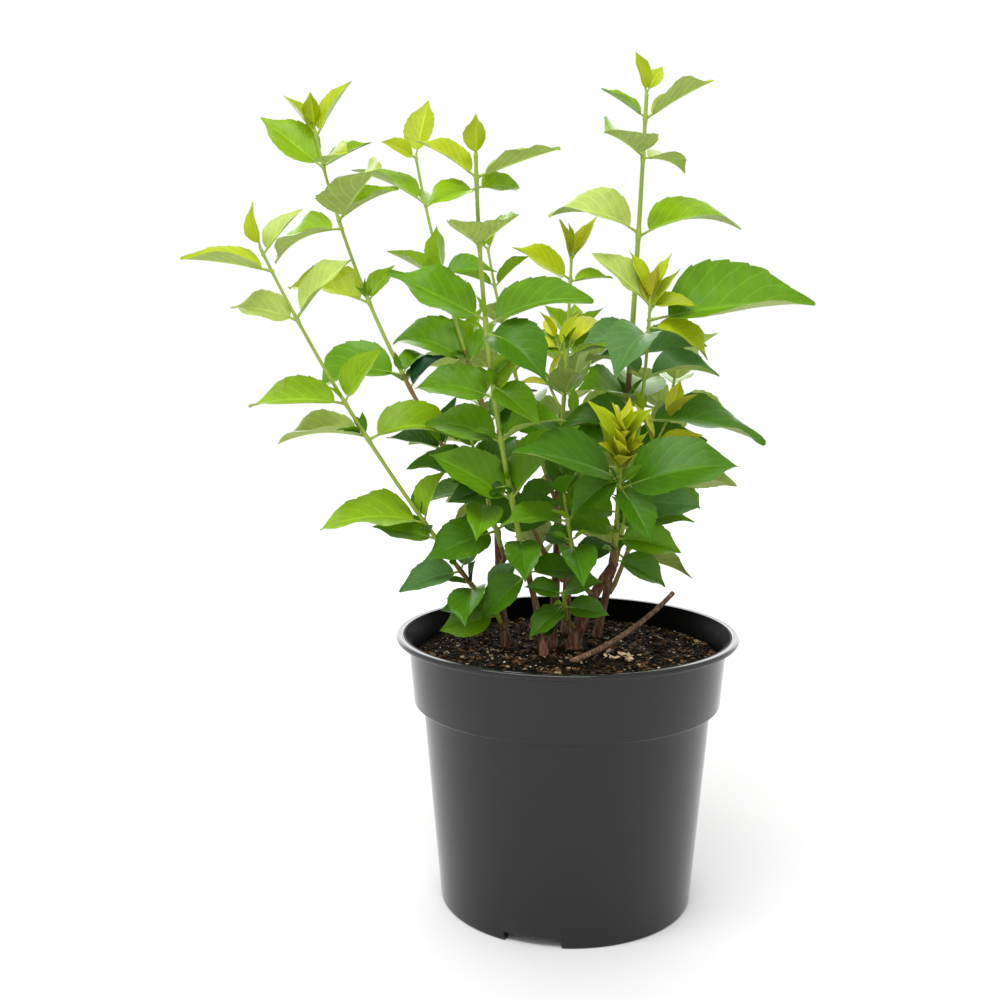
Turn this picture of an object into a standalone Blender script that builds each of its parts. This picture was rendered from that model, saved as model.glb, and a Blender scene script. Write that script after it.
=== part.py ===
"""A young hybrid mock orange in a black nursery pot, modelled at its real size.

The pot stands on the ground with its axis on Z, and the front of the plant looks along -Y.
Woody canes rise from the potting soil, each a tapering limb of its own. Leafy shoots go on
from the canes. A shoot is one mass: a green stem, side twigs and opposite leaves, fused.
Lengths are in millimetres and angles in degrees, and meshes are made in metres.
"""
import math
import random

import bmesh
import bpy
from mathutils import Matrix, Vector
from mathutils.bvhtree import BVHTree

MM = 0.001
GAP = 0.3
SEED = 41

# The pot: a three litre container, 190 mm across its rim.
RIM_R = 93.5
POT_HEIGHT = 150.0
LIP_HEIGHT = 3.2
MOUTH_R = 88.6
COLLAR_TOP_R = 87.2
COLLAR_FOOT_R = 84.2
COLLAR_FOOT_Z = 114.0
STEP_DROP = 2.5
BODY_TOP_R = 79.2
BASE_R = 69.8
WALL = 1.8
FLOOR_UNDERSIDE = 5.0
FLOOR_THICKNESS = 2.0
SKIRT_WIDTH = 4.5
PAD_R = 22.0
NOTCH_COUNT = 3
NOTCH_WIDTH = 31.0
NOTCH_FIRST_TURN = 253.0
POT_SEGMENTS = 40

# The potting soil: a low flat mound that falls off towards the wall.
SOIL_TOP = 140.0
SOIL_FLAT_R = 66.0
SOIL_EDGE_Z = 138.5
SOIL_SEGMENTS = 32

# Canes: foot, tip, the way and amount that the middle stands off the straight line, and
# the radius at each end.
CANES = {
    "left_cane": ((-33, 9), (-38, 13, 203), (-1, -2, 0), 2.4, 1.9),
    "front_cane": ((-13, -14), (-17, -9, 165), (0, 0, 0), 2.2, 1.9),
    "middle_cane": ((-8, 4), (-4, 20, 234), (1, 2, 0), 2.6, 1.9),
    "right_cane": ((4, 3), (25, -13, 190), (-2, 3, 0), 3.8, 2.3),
    "right_back_cane": ((19, 28), (31, 27, 212), (1, -2, 0), 2.3, 1.9),
    "back_cane": ((2, 39), (5, 66, 212), (0, 2, 0), 2.7, 2.0),
}
CANE_SIDES = 8
ROOT_FLARE = 1.3
ROOT_FLARE_HEIGHT = 10.0

# The cane that was pruned back leans out to the right and ends in a bare cut.
STUB_FOOT = (6, -25)
STUB_TIP = (61, 18, 167)
STUB_BELLY = (1.5, 1.0, -3.5)
STUB_R = (2.2, 1.8)

# Light draws the blades up and outwards, to the front or to the back of the plant.
FRONT_LIGHT = Vector((0.0, -1.15, 0.65))
BACK_LIGHT = Vector((0.0, 0.80, 0.80))

# The leaf: an ovate blade with a drawn out tip on a short stalk.
LEAF_WIDTH = 0.67
LEAF_STALK = 0.11
LEAF_STALK_R = 0.75
ROOT_DEPTH = 0.4
OPPOSITE_STEP = 0.7
LEAF_FOLD = 27.0
YOUNG_LENGTH = 31.0
SMALL_LENGTH = 44.0
YOUNG_FOLD = 36.0
BLADE_STATIONS = ((0.12, 0.68), (0.40, 1.0), (0.75, 0.56))
SMALL_STATIONS = ((0.32, 1.0), (0.72, 0.62))

# Each row is one pair of leaves on its shoot: the height of the pair above the ground, the
# turn of the first leaf about the stem (0 right, 90 back, 180 left, 270 front), the length
# of the first leaf and of the leaf opposite (0 where it was lost), the spread from the
# stem, the droop from the stalk to the tip, and how far the blade gives in to the light.
SHOOTS = (
    {
        "name": "far_left_shoot", "cane": "left_cane", "height": 156, "side": 190,
        "tip": (-154, -50, 353), "belly": (-7, -4, 0), "light": FRONT_LIGHT,
        "pairs": (
            (174, 275, 38, 0, 75, 40, 1.2),
            (183, 200, 36, 32, 60, 24, 1.0),
            (202, 190, 36, 0, 38, 15, 1.0),
            (211, 190, 58, 33, 40, 44, 0.4),
            (259, 180, 48, 0, 50, 38, 0.3),
            (257, 5, 52, 0, 94, 70, 1.3),
            (276, 180, 52, 34, 52, 32, 0.5),
            (318, 175, 36, 0, 44, 30, 1.0),
            (319, 0, 42, 0, 62, 20, 1.0),
            (342, 190, 44, 0, 51, 12, 0.2),
            (350, 20, 30, 0, 62, 10, 1.0),
            (353, 0, 22, 0, 12, 12, 1.2),
        ),
        "twigs": (),
    },
    {
        "name": "left_shoot", "cane": "left_cane", "height": None, "side": None,
        "tip": (-139, 35, 424), "belly": (-14, 3, 0), "light": FRONT_LIGHT,
        "pairs": (
            (224, 150, 38, 40, 60, 30, 1.0),
            (248, 180, 34, 30, 40, 15, 1.0),
            (289, 200, 60, 26, 50, 90, 1.0),
            (329, 165, 56, 0, 46, 30, 1.2),
            (330, 10, 26, 0, 50, 20, 0.6),
            (370, 160, 52, 0, 74, 48, 1.0),
            (374, 297, 68, 0, 80, 6, 0.0),
            (403, 178, 46, 0, 38, 5, 1.4),
            (404, 0, 30, 0, 74, 10, 0.6),
            (405, 310, 36, 0, 90, 15, 1.0),
            (421, 180, 28, 0, 24, 10, 1.0),
            (420, 350, 36, 0, 44, 10, 1.5),
            (424, 90, 22, 22, 10, 4, 0.0),
            (375, 330, 38, 0, 72, 25, 0.9),
            (282, 346, 28, 0, 62, 40, 0.8),
        ),
        "twigs": (),
    },
    {
        "name": "mid_left_shoot", "cane": "middle_cane", "height": 186, "side": 190,
        "tip": (-84, 45, 411), "belly": (-8, 3, 0), "light": FRONT_LIGHT,
        "pairs": (
            (212, 200, 42, 38, 65, 35, 1.0),
            (236, 90, 40, 38, 60, 30, 1.0),
            (262, 185, 50, 36, 60, 40, 1.0),
            (294, 180, 58, 0, 42, 70, 1.1),
            (295, 0, 30, 0, 45, 20, 1.0),
            (322, 100, 40, 34, 55, 35, 1.0),
            (340, 180, 38, 0, 40, 15, 0.8),
            (346, 0, 32, 0, 92, 30, 1.0),
            (346, 310, 27, 0, 24, 6, 0.8),
            (385, 180, 47, 0, 44, 24, 1.3),
            (384, 75, 26, 0, 60, 25, 0.8),
            (410, 220, 22, 0, 62, 20, 2.4),
            (411, 20, 34, 0, 23, 7, 1.6),
        ),
        "twigs": (),
    },
    {
        "name": "centre_shoot", "cane": "front_cane", "height": None, "side": None,
        "tip": (-48, -72, 395), "belly": (-7, 2, 0), "light": FRONT_LIGHT,
        "pairs": (
            (184, 200, 36, 34, 100, 30, 1.0),
            (204, 280, 34, 0, 95, 35, 1.0),
            (225, 175, 50, 54, 42, 25, 1.2),
            (233, 205, 34, 0, 85, 20, 0.8),
            (256, 150, 44, 40, 55, 45, 1.0),
            (279, 180, 44, 0, 60, 50, 0.8),
            (281, 10, 34, 0, 40, 10, 0.8),
            (311, 303, 48, 0, 84, 85, 1.0),
            (286, 320, 34, 0, 110, 30, 0.8),
            (318, 180, 54, 0, 57, 10, 0.6),
            (315, 8, 58, 0, 65, 48, 0.0),
            (353, 250, 34, 0, 56, 4, 0.3),
            (354, 302, 33, 0, 57, 4, 0.3),
            (384, 178, 34, 0, 50, 25, 0.2),
            (384, 5, 42, 0, 70, 8, -0.3),
            (379, 212, 29, 27, 90, 22, 1.2),
            (393, 285, 20, 14, 10, 4, 0.5),
        ),
        "twigs": (),
    },
    {
        "name": "mid_right_shoot", "cane": "middle_cane", "height": None, "side": None,
        "tip": (3, 30, 355), "belly": (0.6, 0.8, 0), "light": FRONT_LIGHT,
        "pairs": (
            (252, 180, 48, 48, 60, 40, 1.0),
            (276, 100, 42, 40, 55, 40, 1.0),
            (299, 350, 38, 30, 62, 45, 1.0),
            (304, 20, 40, 0, 40, 70, 1.0),
            (342, 195, 38, 0, 64, 6, 4.0),
            (341, 0, 24, 0, 75, 15, 0.8),
            (352, 200, 24, 30, 18, 5, 1.4),
            (355, 90, 20, 20, 8, 4, 1.2),
        ),
        "twigs": (
            (268, 150, 28, 40, 22),
            (296, 175, 14, 35, 26),
        ),
    },
    {
        "name": "tall_right_shoot", "cane": "right_back_cane", "height": None, "side": None,
        "tip": (41, 10, 438), "belly": (0.5, -0.9, 0), "light": FRONT_LIGHT,
        "pairs": (
            (240, 150, 50, 50, 60, 40, 1.0),
            (272, 60, 52, 50, 60, 45, 1.0),
            (297, 140, 46, 44, 60, 45, 1.0),
            (366, 175, 55, 0, 60, 63, 0.6),
            (364, 2, 62, 0, 59, 58, 0.3),
            (405, 34, 34, 0, 82, 42, 0.6),
            (406, 243, 53, 0, 77, 12, 0.3),
            (426, 180, 28, 0, 57, 8, 0.5),
            (425, 5, 42, 0, 54, 11, 0.0),
            (438, 200, 22, 20, 18, 4, 1.2),
        ),
        "twigs": (),
    },
    {
        "name": "right_shoot", "cane": "right_back_cane", "height": 176, "side": 285,
        "tip": (43, -4, 333), "belly": (3, -3, 0), "light": FRONT_LIGHT,
        "pairs": (
            (244, 200, 46, 0, 70, 35, 1.0),
            (265, 355, 70, 46, 80, 32, 0.8),
            (288, 330, 42, 42, 60, 60, 1.0),
            (305, 185, 40, 0, 72, 60, 1.2),
            (312, 245, 50, 0, 90, 62, 1.2),
            (315, 340, 38, 0, 100, 60, 1.2),
            (319, 355, 93, 0, 76, 24, 1.1),
            (327, 0, 24, 0, 80, 20, 1.0),
            (327, 190, 42, 0, 48, 6, 1.2),
            (332, 175, 26, 24, 26, 5, 1.2),
        ),
        "twigs": (
            (226, 5, 44, 28, 32),
        ),
    },
    {
        "name": "front_right_shoot", "cane": "right_cane", "height": None, "side": None,
        "tip": (24, -56, 264), "belly": (0, 3, 0), "light": FRONT_LIGHT,
        "pairs": (
            (192, 328, 32, 0, 98, 45, 0.6),
            (204, 338, 37, 36, 76, 60, 1.1),
            (219, 180, 30, 0, 62, 30, 1.0),
            (212, 345, 42, 0, 62, 40, 1.1),
            (234, 300, 36, 0, 100, 30, 1.0),
            (238, 182, 62, 0, 54, 25, 0.5),
            (224, 345, 44, 0, 76, 35, 0.8),
            (232, 0, 65, 0, 60, 44, 0.8),
            (240, 215, 34, 0, 100, 30, 0.8),
            (250, 250, 30, 30, 30, 10, 1.2),
            (256, 160, 30, 29, 24, 10, 1.0),
            (261, 250, 28, 26, 16, 6, 1.2),
            (264, 160, 25, 23, 8, 4, 1.2),
        ),
        "twigs": (),
    },
    {
        "name": "inner_left_shoot", "cane": "left_cane", "height": 185, "side": 300,
        "tip": (-52, -24, 258), "belly": (0, -3, 0), "light": FRONT_LIGHT,
        "pairs": (
            (206, 190, 44, 40, 75, 40, 1.2),
            (222, 280, 40, 36, 65, 35, 1.2),
            (238, 185, 42, 40, 60, 40, 1.2),
            (250, 275, 34, 30, 45, 15, 1.2),
            (257, 180, 30, 30, 25, 8, 1.0),
        ),
        "twigs": (),
    },
    {
        "name": "inner_right_shoot", "cane": "right_cane", "height": 172, "side": 200,
        "tip": (-4, -30, 236), "belly": (-2, -3, 0), "light": FRONT_LIGHT,
        "pairs": (
            (186, 190, 36, 38, 80, 40, 1.0),
            (200, 280, 38, 30, 75, 40, 1.2),
            (214, 190, 38, 42, 60, 40, 1.2),
            (228, 280, 30, 28, 45, 15, 1.2),
            (236, 0, 26, 28, 25, 8, 1.0),
        ),
        "twigs": (),
    },
    {
        "name": "low_left_shoot", "cane": "left_cane", "height": 150, "side": 250,
        "tip": (-43, -6, 172), "belly": (0, 0, 0), "light": FRONT_LIGHT,
        "pairs": (
            (158, 190, 34, 0, 82, 20, 1.2),
            (164, 160, 36, 0, 60, 20, 1.2),
            (170, 235, 40, 0, 118, 12, 1.3),
            (172, 180, 30, 28, 45, 15, 1.2),
        ),
        "twigs": (),
    },
    {
        "name": "low_front_shoot", "cane": "right_cane", "height": 152, "side": 200,
        "tip": (-3, -14, 174), "belly": (0, 0, 0), "light": FRONT_LIGHT,
        "pairs": (
            (164, 190, 34, 32, 80, 40, 1.2),
            (167, 236, 28, 0, 100, 60, 1.2),
            (173, 165, 30, 28, 50, 20, 1.2),
        ),
        "twigs": (),
    },
    {
        "name": "thin_back_shoot", "cane": "back_cane", "height": 205, "side": 190,
        "tip": (-44, 70, 363), "belly": (-4, 0.7, 0), "light": BACK_LIGHT,
        "pairs": (
            (238, 170, 44, 40, 60, 40, 1.0),
            (262, 80, 50, 44, 60, 40, 1.0),
            (290, 175, 44, 40, 60, 40, 1.0),
            (316, 80, 42, 34, 55, 30, 1.0),
            (340, 0, 28, 24, 52, 20, 1.0),
            (361, 0, 22, 22, 28, 5, 1.0),
        ),
        "twigs": (),
    },
    {
        "name": "back_left_shoot", "cane": "back_cane", "height": 168, "side": 165,
        "tip": (-58, 112, 304), "belly": (-6, 5, -3), "light": BACK_LIGHT,
        "pairs": (
            (184, 80, 42, 38, 65, 40, 1.0),
            (204, 170, 52, 44, 60, 45, 1.0),
            (226, 80, 54, 46, 60, 50, 1.0),
            (248, 165, 54, 48, 55, 45, 1.0),
            (268, 80, 50, 44, 55, 40, 1.0),
            (286, 165, 42, 40, 50, 30, 1.0),
            (298, 80, 34, 30, 35, 15, 1.0),
            (303, 170, 28, 28, 20, 5, 1.0),
        ),
        "twigs": (
            (214, 140, 34, 50, 36),
        ),
    },
    {
        "name": "back_shoot", "cane": "back_cane", "height": None, "side": None,
        "tip": (10, 122, 312), "belly": (1.3, 8, 0), "light": BACK_LIGHT,
        "pairs": (
            (228, 0, 48, 46, 62, 45, 1.0),
            (243, 90, 56, 40, 60, 50, 1.0),
            (259, 5, 54, 52, 58, 45, 1.0),
            (275, 90, 52, 40, 55, 40, 1.0),
            (288, 0, 44, 42, 50, 30, 1.0),
            (299, 90, 38, 34, 45, 20, 1.0),
            (307, 0, 30, 30, 35, 10, 1.0),
            (312, 90, 24, 24, 15, 5, 1.0),
        ),
        "twigs": (
            (226, 60, 40, 55, 38),
        ),
    },
    {
        "name": "back_right_shoot", "cane": "right_back_cane", "height": 166, "side": 40,
        "tip": (74, 104, 300), "belly": (5, 6, -3), "light": BACK_LIGHT,
        "pairs": (
            (182, 0, 42, 40, 65, 40, 1.0),
            (202, 90, 52, 42, 62, 45, 1.0),
            (222, 0, 54, 48, 60, 50, 1.0),
            (244, 90, 54, 42, 55, 45, 1.0),
            (264, 20, 44, 44, 55, 40, 1.0),
            (281, 90, 42, 38, 50, 30, 1.0),
            (293, 0, 34, 32, 35, 15, 1.0),
            (299, 90, 28, 26, 20, 6, 1.0),
        ),
        "twigs": (
            (212, 45, 34, 50, 34),
        ),
    },
)
STEM_SIDES = 5
STEM_FOOT_R = 1.7
STEM_TIP_R = 0.85
STEM_RINGS = 7
SPUR = 4.0
TWIG_R = (1.0, 0.6)
TWIG_RINGS = 3
TWIG_PAIRS = ((0.65, 0.9), (1.0, 0.8))

# What is tried, in turn, for a leaf that would touch something: a further turn, a wider
# spread and a smaller size. A leaf that still touches is left out.
RETRIES = (
    (0, 0, 1.0), (12, 0, 1.0), (-12, 0, 1.0), (0, 12, 1.0), (0, -10, 1.0), (24, 0, 1.0),
    (-24, 0, 1.0), (18, 14, 0.85), (-18, 14, 0.85), (36, 0, 0.8), (-36, 0, 0.8), (0, 20, 0.7),
)
CLEARANCE = 0.5

# Ways to fuse a shoot, tried in turn: the solver, and whether flat faces are merged after.
FUSE_WAYS = (("MANIFOLD", True), ("MANIFOLD", False), ("EXACT", True), ("EXACT", False))
FLAT_ANGLE = math.radians(0.1)

# Colours: sRGB fractions and roughness.
POT_BLACK = (0.10, 0.10, 0.11, 0.28)
SOIL_BROWN = (0.16, 0.11, 0.08, 0.95)
BARK_BROWN = (0.47, 0.31, 0.20, 0.80)
LEAF_GREENS = {
    "left": (0.42, 0.62, 0.10, 0.45),
    "right": (0.30, 0.53, 0.12, 0.45),
    "back": (0.24, 0.45, 0.12, 0.50),
    "low": (0.20, 0.42, 0.14, 0.50),
}


def clear_scene():
    for thing in list(bpy.data.objects):
        bpy.data.objects.remove(thing, do_unlink=True)


def add_object(name, vertices, faces):
    """Make a closed mesh object from points in millimetres."""
    mesh = bpy.data.meshes.new(name)
    mesh.from_pydata([Vector(v) * MM for v in vertices], [], faces)
    work = bmesh.new()
    work.from_mesh(mesh)
    bmesh.ops.recalc_face_normals(work, faces=work.faces)
    bmesh.ops.triangulate(work, faces=work.faces)
    work.to_mesh(mesh)
    work.free()
    thing = bpy.data.objects.new(name, mesh)
    bpy.context.scene.collection.objects.link(thing)
    return thing


def give_material(thing, colour):
    material = bpy.data.materials.new(thing.name)
    material.use_nodes = True
    shader = material.node_tree.nodes["Principled BSDF"]
    shader.inputs["Base Color"].default_value = [part ** 2.2 for part in colour[:3]] + [1.0]
    shader.inputs["Roughness"].default_value = colour[3]
    shader.inputs["Metallic"].default_value = 0.0
    thing.data.materials.clear()
    thing.data.materials.append(material)


def shade_round(thing, angle=40.0):
    thing.data.shade_smooth()
    thing.data.set_sharp_from_angle(angle=math.radians(angle))


def turned(name, profile, segments):
    """Turn a profile of (radius, height) points about Z. It starts and ends on the axis."""
    vertices = [(0.0, 0.0, profile[0][1])]
    rings = []
    for radius, height in profile[1:-1]:
        rings.append(len(vertices))
        for step in range(segments):
            angle = 2.0 * math.pi * step / segments
            vertices.append((radius * math.cos(angle), radius * math.sin(angle), height))
    last = len(vertices)
    vertices.append((0.0, 0.0, profile[-1][1]))
    faces = []
    for step in range(segments):
        after = (step + 1) % segments
        faces.append((0, rings[0] + step, rings[0] + after))
        for low, high in zip(rings, rings[1:]):
            faces.append((low + step, high + step, high + after, low + after))
        faces.append((rings[-1] + step, last, rings[-1] + after))
    return add_object(name, vertices, faces)


def inner_radius(height):
    """The inside radius of the pot at a height."""
    if height > COLLAR_FOOT_Z:
        part = (height - COLLAR_FOOT_Z) / (POT_HEIGHT - COLLAR_FOOT_Z)
        return COLLAR_FOOT_R - WALL + part * (COLLAR_TOP_R - COLLAR_FOOT_R)
    part = height / (COLLAR_FOOT_Z - STEP_DROP)
    return BASE_R - WALL + part * (BODY_TOP_R - BASE_R)


def pot():
    """The pot: rolled lip, collar, tapered body, recessed floor with a pad and notches."""
    lip_foot = POT_HEIGHT - LIP_HEIGHT
    floor_top = FLOOR_UNDERSIDE + FLOOR_THICKNESS
    profile = [
        (0.0, 0.0),
        (PAD_R, 0.0),
        (PAD_R + 1.0, FLOOR_UNDERSIDE),
        (BASE_R - SKIRT_WIDTH, FLOOR_UNDERSIDE),
        (BASE_R - SKIRT_WIDTH, 0.0),
        (BASE_R - 1.2, 0.0),
        (BASE_R, 1.2),
        (BODY_TOP_R, COLLAR_FOOT_Z - STEP_DROP),
        (COLLAR_FOOT_R - 1.0, COLLAR_FOOT_Z - 0.8),
        (COLLAR_FOOT_R, COLLAR_FOOT_Z + 1.0),
        (COLLAR_TOP_R, lip_foot),
        (RIM_R - 0.8, lip_foot),
        (RIM_R, lip_foot + 1.0),
        (RIM_R - 0.6, POT_HEIGHT - 0.6),
        (RIM_R - 2.0, POT_HEIGHT),
        (MOUTH_R + 0.7, POT_HEIGHT),
        (MOUTH_R, POT_HEIGHT - 1.2),
        (COLLAR_TOP_R - WALL, lip_foot - 1.0),
        (COLLAR_FOOT_R - WALL, COLLAR_FOOT_Z),
        (BODY_TOP_R - WALL, COLLAR_FOOT_Z - STEP_DROP),
        (inner_radius(floor_top), floor_top),
        (0.0, floor_top),
    ]
    body = turned("pot", profile, POT_SEGMENTS)
    for index in range(NOTCH_COUNT):
        notch = notch_cutter(index)
        cut = body.modifiers.new("notch", "BOOLEAN")
        cut.operation = "DIFFERENCE"
        cut.solver = "EXACT"
        cut.object = notch
    shade_round(body, 30.0)
    give_material(body, POT_BLACK)
    return body


def notch_cutter(index):
    """A box that opens the skirt, where water drains out."""
    near = BASE_R - SKIRT_WIDTH - 6.0
    far = BASE_R + 6.0
    half = NOTCH_WIDTH / 2.0
    top = FLOOR_UNDERSIDE - 0.05
    corners = [
        (x, y, z) for x in (near, far) for y in (-half, half) for z in (-3.0, top)
    ]
    faces = [(0, 1, 3, 2), (4, 6, 7, 5), (0, 4, 5, 1), (2, 3, 7, 6), (0, 2, 6, 4), (1, 5, 7, 3)]
    cutter = add_object("notch_cutter_" + str(index), corners, faces)
    turn = math.radians(NOTCH_FIRST_TURN + 360.0 * index / NOTCH_COUNT)
    cutter.data.transform(Matrix.Rotation(turn, 4, "Z"))
    cutter.hide_render = True
    cutter.display_type = "WIRE"
    return cutter


def soil():
    """The root ball and soil, which fill the pot from its floor."""
    foot = FLOOR_UNDERSIDE + FLOOR_THICKNESS + GAP
    step = COLLAR_FOOT_Z - STEP_DROP
    profile = [
        (0.0, foot),
        (inner_radius(foot) - GAP, foot),
        (BODY_TOP_R - WALL - GAP, step),
        (COLLAR_FOOT_R - WALL - GAP, COLLAR_FOOT_Z + GAP),
        (inner_radius(SOIL_EDGE_Z) - 2.0 * GAP, SOIL_EDGE_Z),
        (SOIL_FLAT_R, SOIL_TOP),
        (0.0, SOIL_TOP),
    ]
    ball = turned("soil", profile, SOIL_SEGMENTS)
    shade_round(ball, 30.0)
    give_material(ball, SOIL_BROWN)
    return ball


def bent_path(foot, tip, belly, count):
    """Points from foot to tip of a limb whose middle stands off by the belly."""
    foot, tip = Vector(foot), Vector(tip)
    knee = (foot + tip) / 2.0 + 2.0 * Vector(belly)
    path = []
    for index in range(count):
        t = index / (count - 1)
        path.append((1 - t) ** 2 * foot + 2 * t * (1 - t) * knee + t ** 2 * tip)
    return path


def path_directions(path):
    last = len(path) - 1
    return [
        (path[min(i + 1, last)] - path[max(i - 1, 0)]).normalized() for i in range(len(path))
    ]


def across(direction, reference):
    """Two unit vectors square to a direction, the first as near the reference as can be."""
    first = (reference - reference.dot(direction) * direction).normalized()
    return first, direction.cross(first)


def tube(path, radii, sides, foot_normal=None, tip_normal=None):
    """A closed tube along a path. Its end cuts may lie square to a given normal."""
    directions = path_directions(path)
    chord = (path[-1] - path[0]).normalized()
    reference = Vector((1.0, 0.0, 0.0))
    if abs(chord.x) > 0.9:
        reference = Vector((0.0, 0.0, 1.0))
    vertices = []
    for index, (point, direction, radius) in enumerate(zip(path, directions, radii)):
        first, second = across(direction, reference)
        cut = None
        if index == 0:
            cut = foot_normal
        if index == len(path) - 1:
            cut = tip_normal
        for step in range(sides):
            angle = 2.0 * math.pi * step / sides
            spoke = radius * (math.cos(angle) * first + math.sin(angle) * second)
            if cut is not None:
                spoke -= direction * (spoke.dot(cut) / direction.dot(cut))
            vertices.append(point + spoke)
    faces = [tuple(range(sides))[::-1]]
    for ring in range(len(path) - 1):
        low = ring * sides
        for step in range(sides):
            after = (step + 1) % sides
            faces.append((low + step, low + after, low + sides + after, low + sides + step))
    faces.append(tuple(range((len(path) - 1) * sides, len(path) * sides)))
    return vertices, faces


def cane_path(name, count=7):
    foot, tip, belly = CANES[name][:3]
    return bent_path((foot[0], foot[1], SOIL_TOP + GAP), tip, belly, count)


def cane_radius(name, height):
    foot_r, tip_r = CANES[name][3:]
    top = CANES[name][1][2]
    part = (height - SOIL_TOP) / (top - SOIL_TOP)
    flare = (ROOT_FLARE - 1.0) * max(0.0, 1.0 - (height - SOIL_TOP) / ROOT_FLARE_HEIGHT) ** 2
    return (foot_r + (tip_r - foot_r) * part) * (1.0 + flare)


def cane(name):
    """One woody cane, cut flat at the soil and at its tip."""
    path = cane_path(name)
    path.insert(1, path[0].lerp(path[1], 0.5))
    radii = [cane_radius(name, point.z) for point in path]
    level = Vector((0.0, 0.0, 1.0))
    vertices, faces = tube(path, radii, CANE_SIDES, level, level)
    limb = add_object(name, vertices, faces)
    shade_round(limb, 50.0)
    give_material(limb, BARK_BROWN)
    return limb


def pruned_stub():
    foot = (STUB_FOOT[0], STUB_FOOT[1], SOIL_TOP + GAP + 0.3)
    path = bent_path(foot, STUB_TIP, STUB_BELLY, 7)
    radii = [STUB_R[0] + (STUB_R[1] - STUB_R[0]) * i / 6 for i in range(7)]
    vertices, faces = tube(path, radii, CANE_SIDES, Vector((0.0, 0.0, 1.0)))
    stub = add_object("pruned_stub", vertices, faces)
    shade_round(stub, 50.0)
    give_material(stub, BARK_BROWN)
    return stub


def point_at_height(path, height):
    """The point of a path at a height, and the direction of the path there."""
    for low, high in zip(path, path[1:]):
        if low.z <= height <= high.z:
            part = (height - low.z) / (high.z - low.z)
            return low.lerp(high, part), (high - low).normalized()
    return path[-1].copy(), (path[-1] - path[-2]).normalized()


def shoot_foot(shoot):
    """Where a shoot starts, just clear of its cane, and the normal of its end cut."""
    path = cane_path(shoot["cane"], 25)
    if shoot["height"] is None:
        return path[-1] + Vector((0.0, 0.0, GAP)), Vector((0.0, 0.0, 1.0))
    point = point_at_height(path, shoot["height"])[0]
    turn = math.radians(shoot["side"])
    outward = Vector((math.cos(turn), math.sin(turn), 0.0))
    reach = cane_radius(shoot["cane"], shoot["height"]) + 1.5 * GAP
    return point + reach * outward, outward


def shoot_path(shoot, count):
    """The path of a shoot's stem. A side shoot first leans out from its cane by a spur."""
    foot, outward = shoot_foot(shoot)
    if shoot["height"] is None:
        return bent_path(foot, shoot["tip"], shoot["belly"], count)
    knee = foot + SPUR * (outward + Vector((0.0, 0.0, 1.0)))
    return [foot] + bent_path(knee, shoot["tip"], shoot["belly"], count - 1)


def shoot_stem(shoot):
    path = shoot_path(shoot, STEM_RINGS)
    span = len(path) - 1
    radii = [STEM_FOOT_R + (STEM_TIP_R - STEM_FOOT_R) * i / span for i in range(len(path))]
    return tube(path, radii, STEM_SIDES, shoot_foot(shoot)[1])


def leaf_axes(direction, turn, spread, roll, light):
    """The way a leaf points from its stem, and the way its upper face looks."""
    first, second = across(direction, Vector((1.0, 0.0, 0.0)))
    turn, spread = math.radians(turn), math.radians(max(spread, 3.0))
    outward = math.cos(turn) * first + math.sin(turn) * second
    along = math.cos(spread) * direction + math.sin(spread) * outward
    face = direction - direction.dot(along) * along
    face = face.normalized() + light
    face = (face - face.dot(along) * along).normalized()
    face = Matrix.Rotation(math.radians(roll), 3, along) @ face
    return along, face


def leaf_point(leaf, s):
    """A point of the midrib, s from 0 at the blade's foot to 1 at its tip, and the axes."""
    bend = math.radians(max(leaf["droop"], 0.5))
    base = leaf["root"] + leaf["stalk"] * leaf["along"]
    run = leaf["length"] * math.sin(bend * s) / bend
    fall = leaf["length"] * (1.0 - math.cos(bend * s)) / bend
    point = base + run * leaf["along"] - fall * leaf["face"]
    along = math.cos(bend * s) * leaf["along"] - math.sin(bend * s) * leaf["face"]
    face = math.cos(bend * s) * leaf["face"] + math.sin(bend * s) * leaf["along"]
    return point, along, face


def leaf_solid(leaf, swell=0.0, blade_only=False):
    """A closed leaf: stalk, folded blade and tip. Its edges are sharp, its midrib thick."""
    small = leaf["length"] < SMALL_LENGTH
    stations = SMALL_STATIONS if small else BLADE_STATIONS
    half = leaf["length"] * LEAF_WIDTH / 2.0
    thick = leaf["length"] / 90.0 + 0.25
    fold = math.radians(leaf["fold"])
    stalk = LEAF_STALK_R + swell
    rings = []
    if not blade_only:
        rings.append((leaf["root"], leaf["along"], leaf["face"], stalk, stalk, 0.0))
    if not small and not blade_only:
        point, along, face = leaf_point(leaf, 0.0)
        rings.append((point, along, face, stalk, thick / 2.0, 0.0))
    for s, share in stations:
        point, along, face = leaf_point(leaf, s)
        rings.append((point, along, face, half * share + swell, thick / 2.0 + swell, fold))
    vertices = []
    for point, along, face, width, depth, bend in rings:
        side = along.cross(face)
        lift = math.sin(bend) * width * face
        vertices.append(point + math.cos(bend) * width * side + lift)
        vertices.append(point + depth * face)
        vertices.append(point - math.cos(bend) * width * side + lift)
        vertices.append(point - depth * face)
    faces = [(3, 2, 1, 0)]
    for ring in range(len(rings) - 1):
        low = 4 * ring
        for step in range(4):
            after = (step + 1) % 4
            faces.append((low + step, low + after, low + 4 + after, low + 4 + step))
    tip = len(vertices)
    vertices.append(leaf_point(leaf, 1.0)[0])
    low = 4 * (len(rings) - 1)
    for step in range(4):
        faces.append((low + step, low + (step + 1) % 4, tip))
    return vertices, faces


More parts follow.
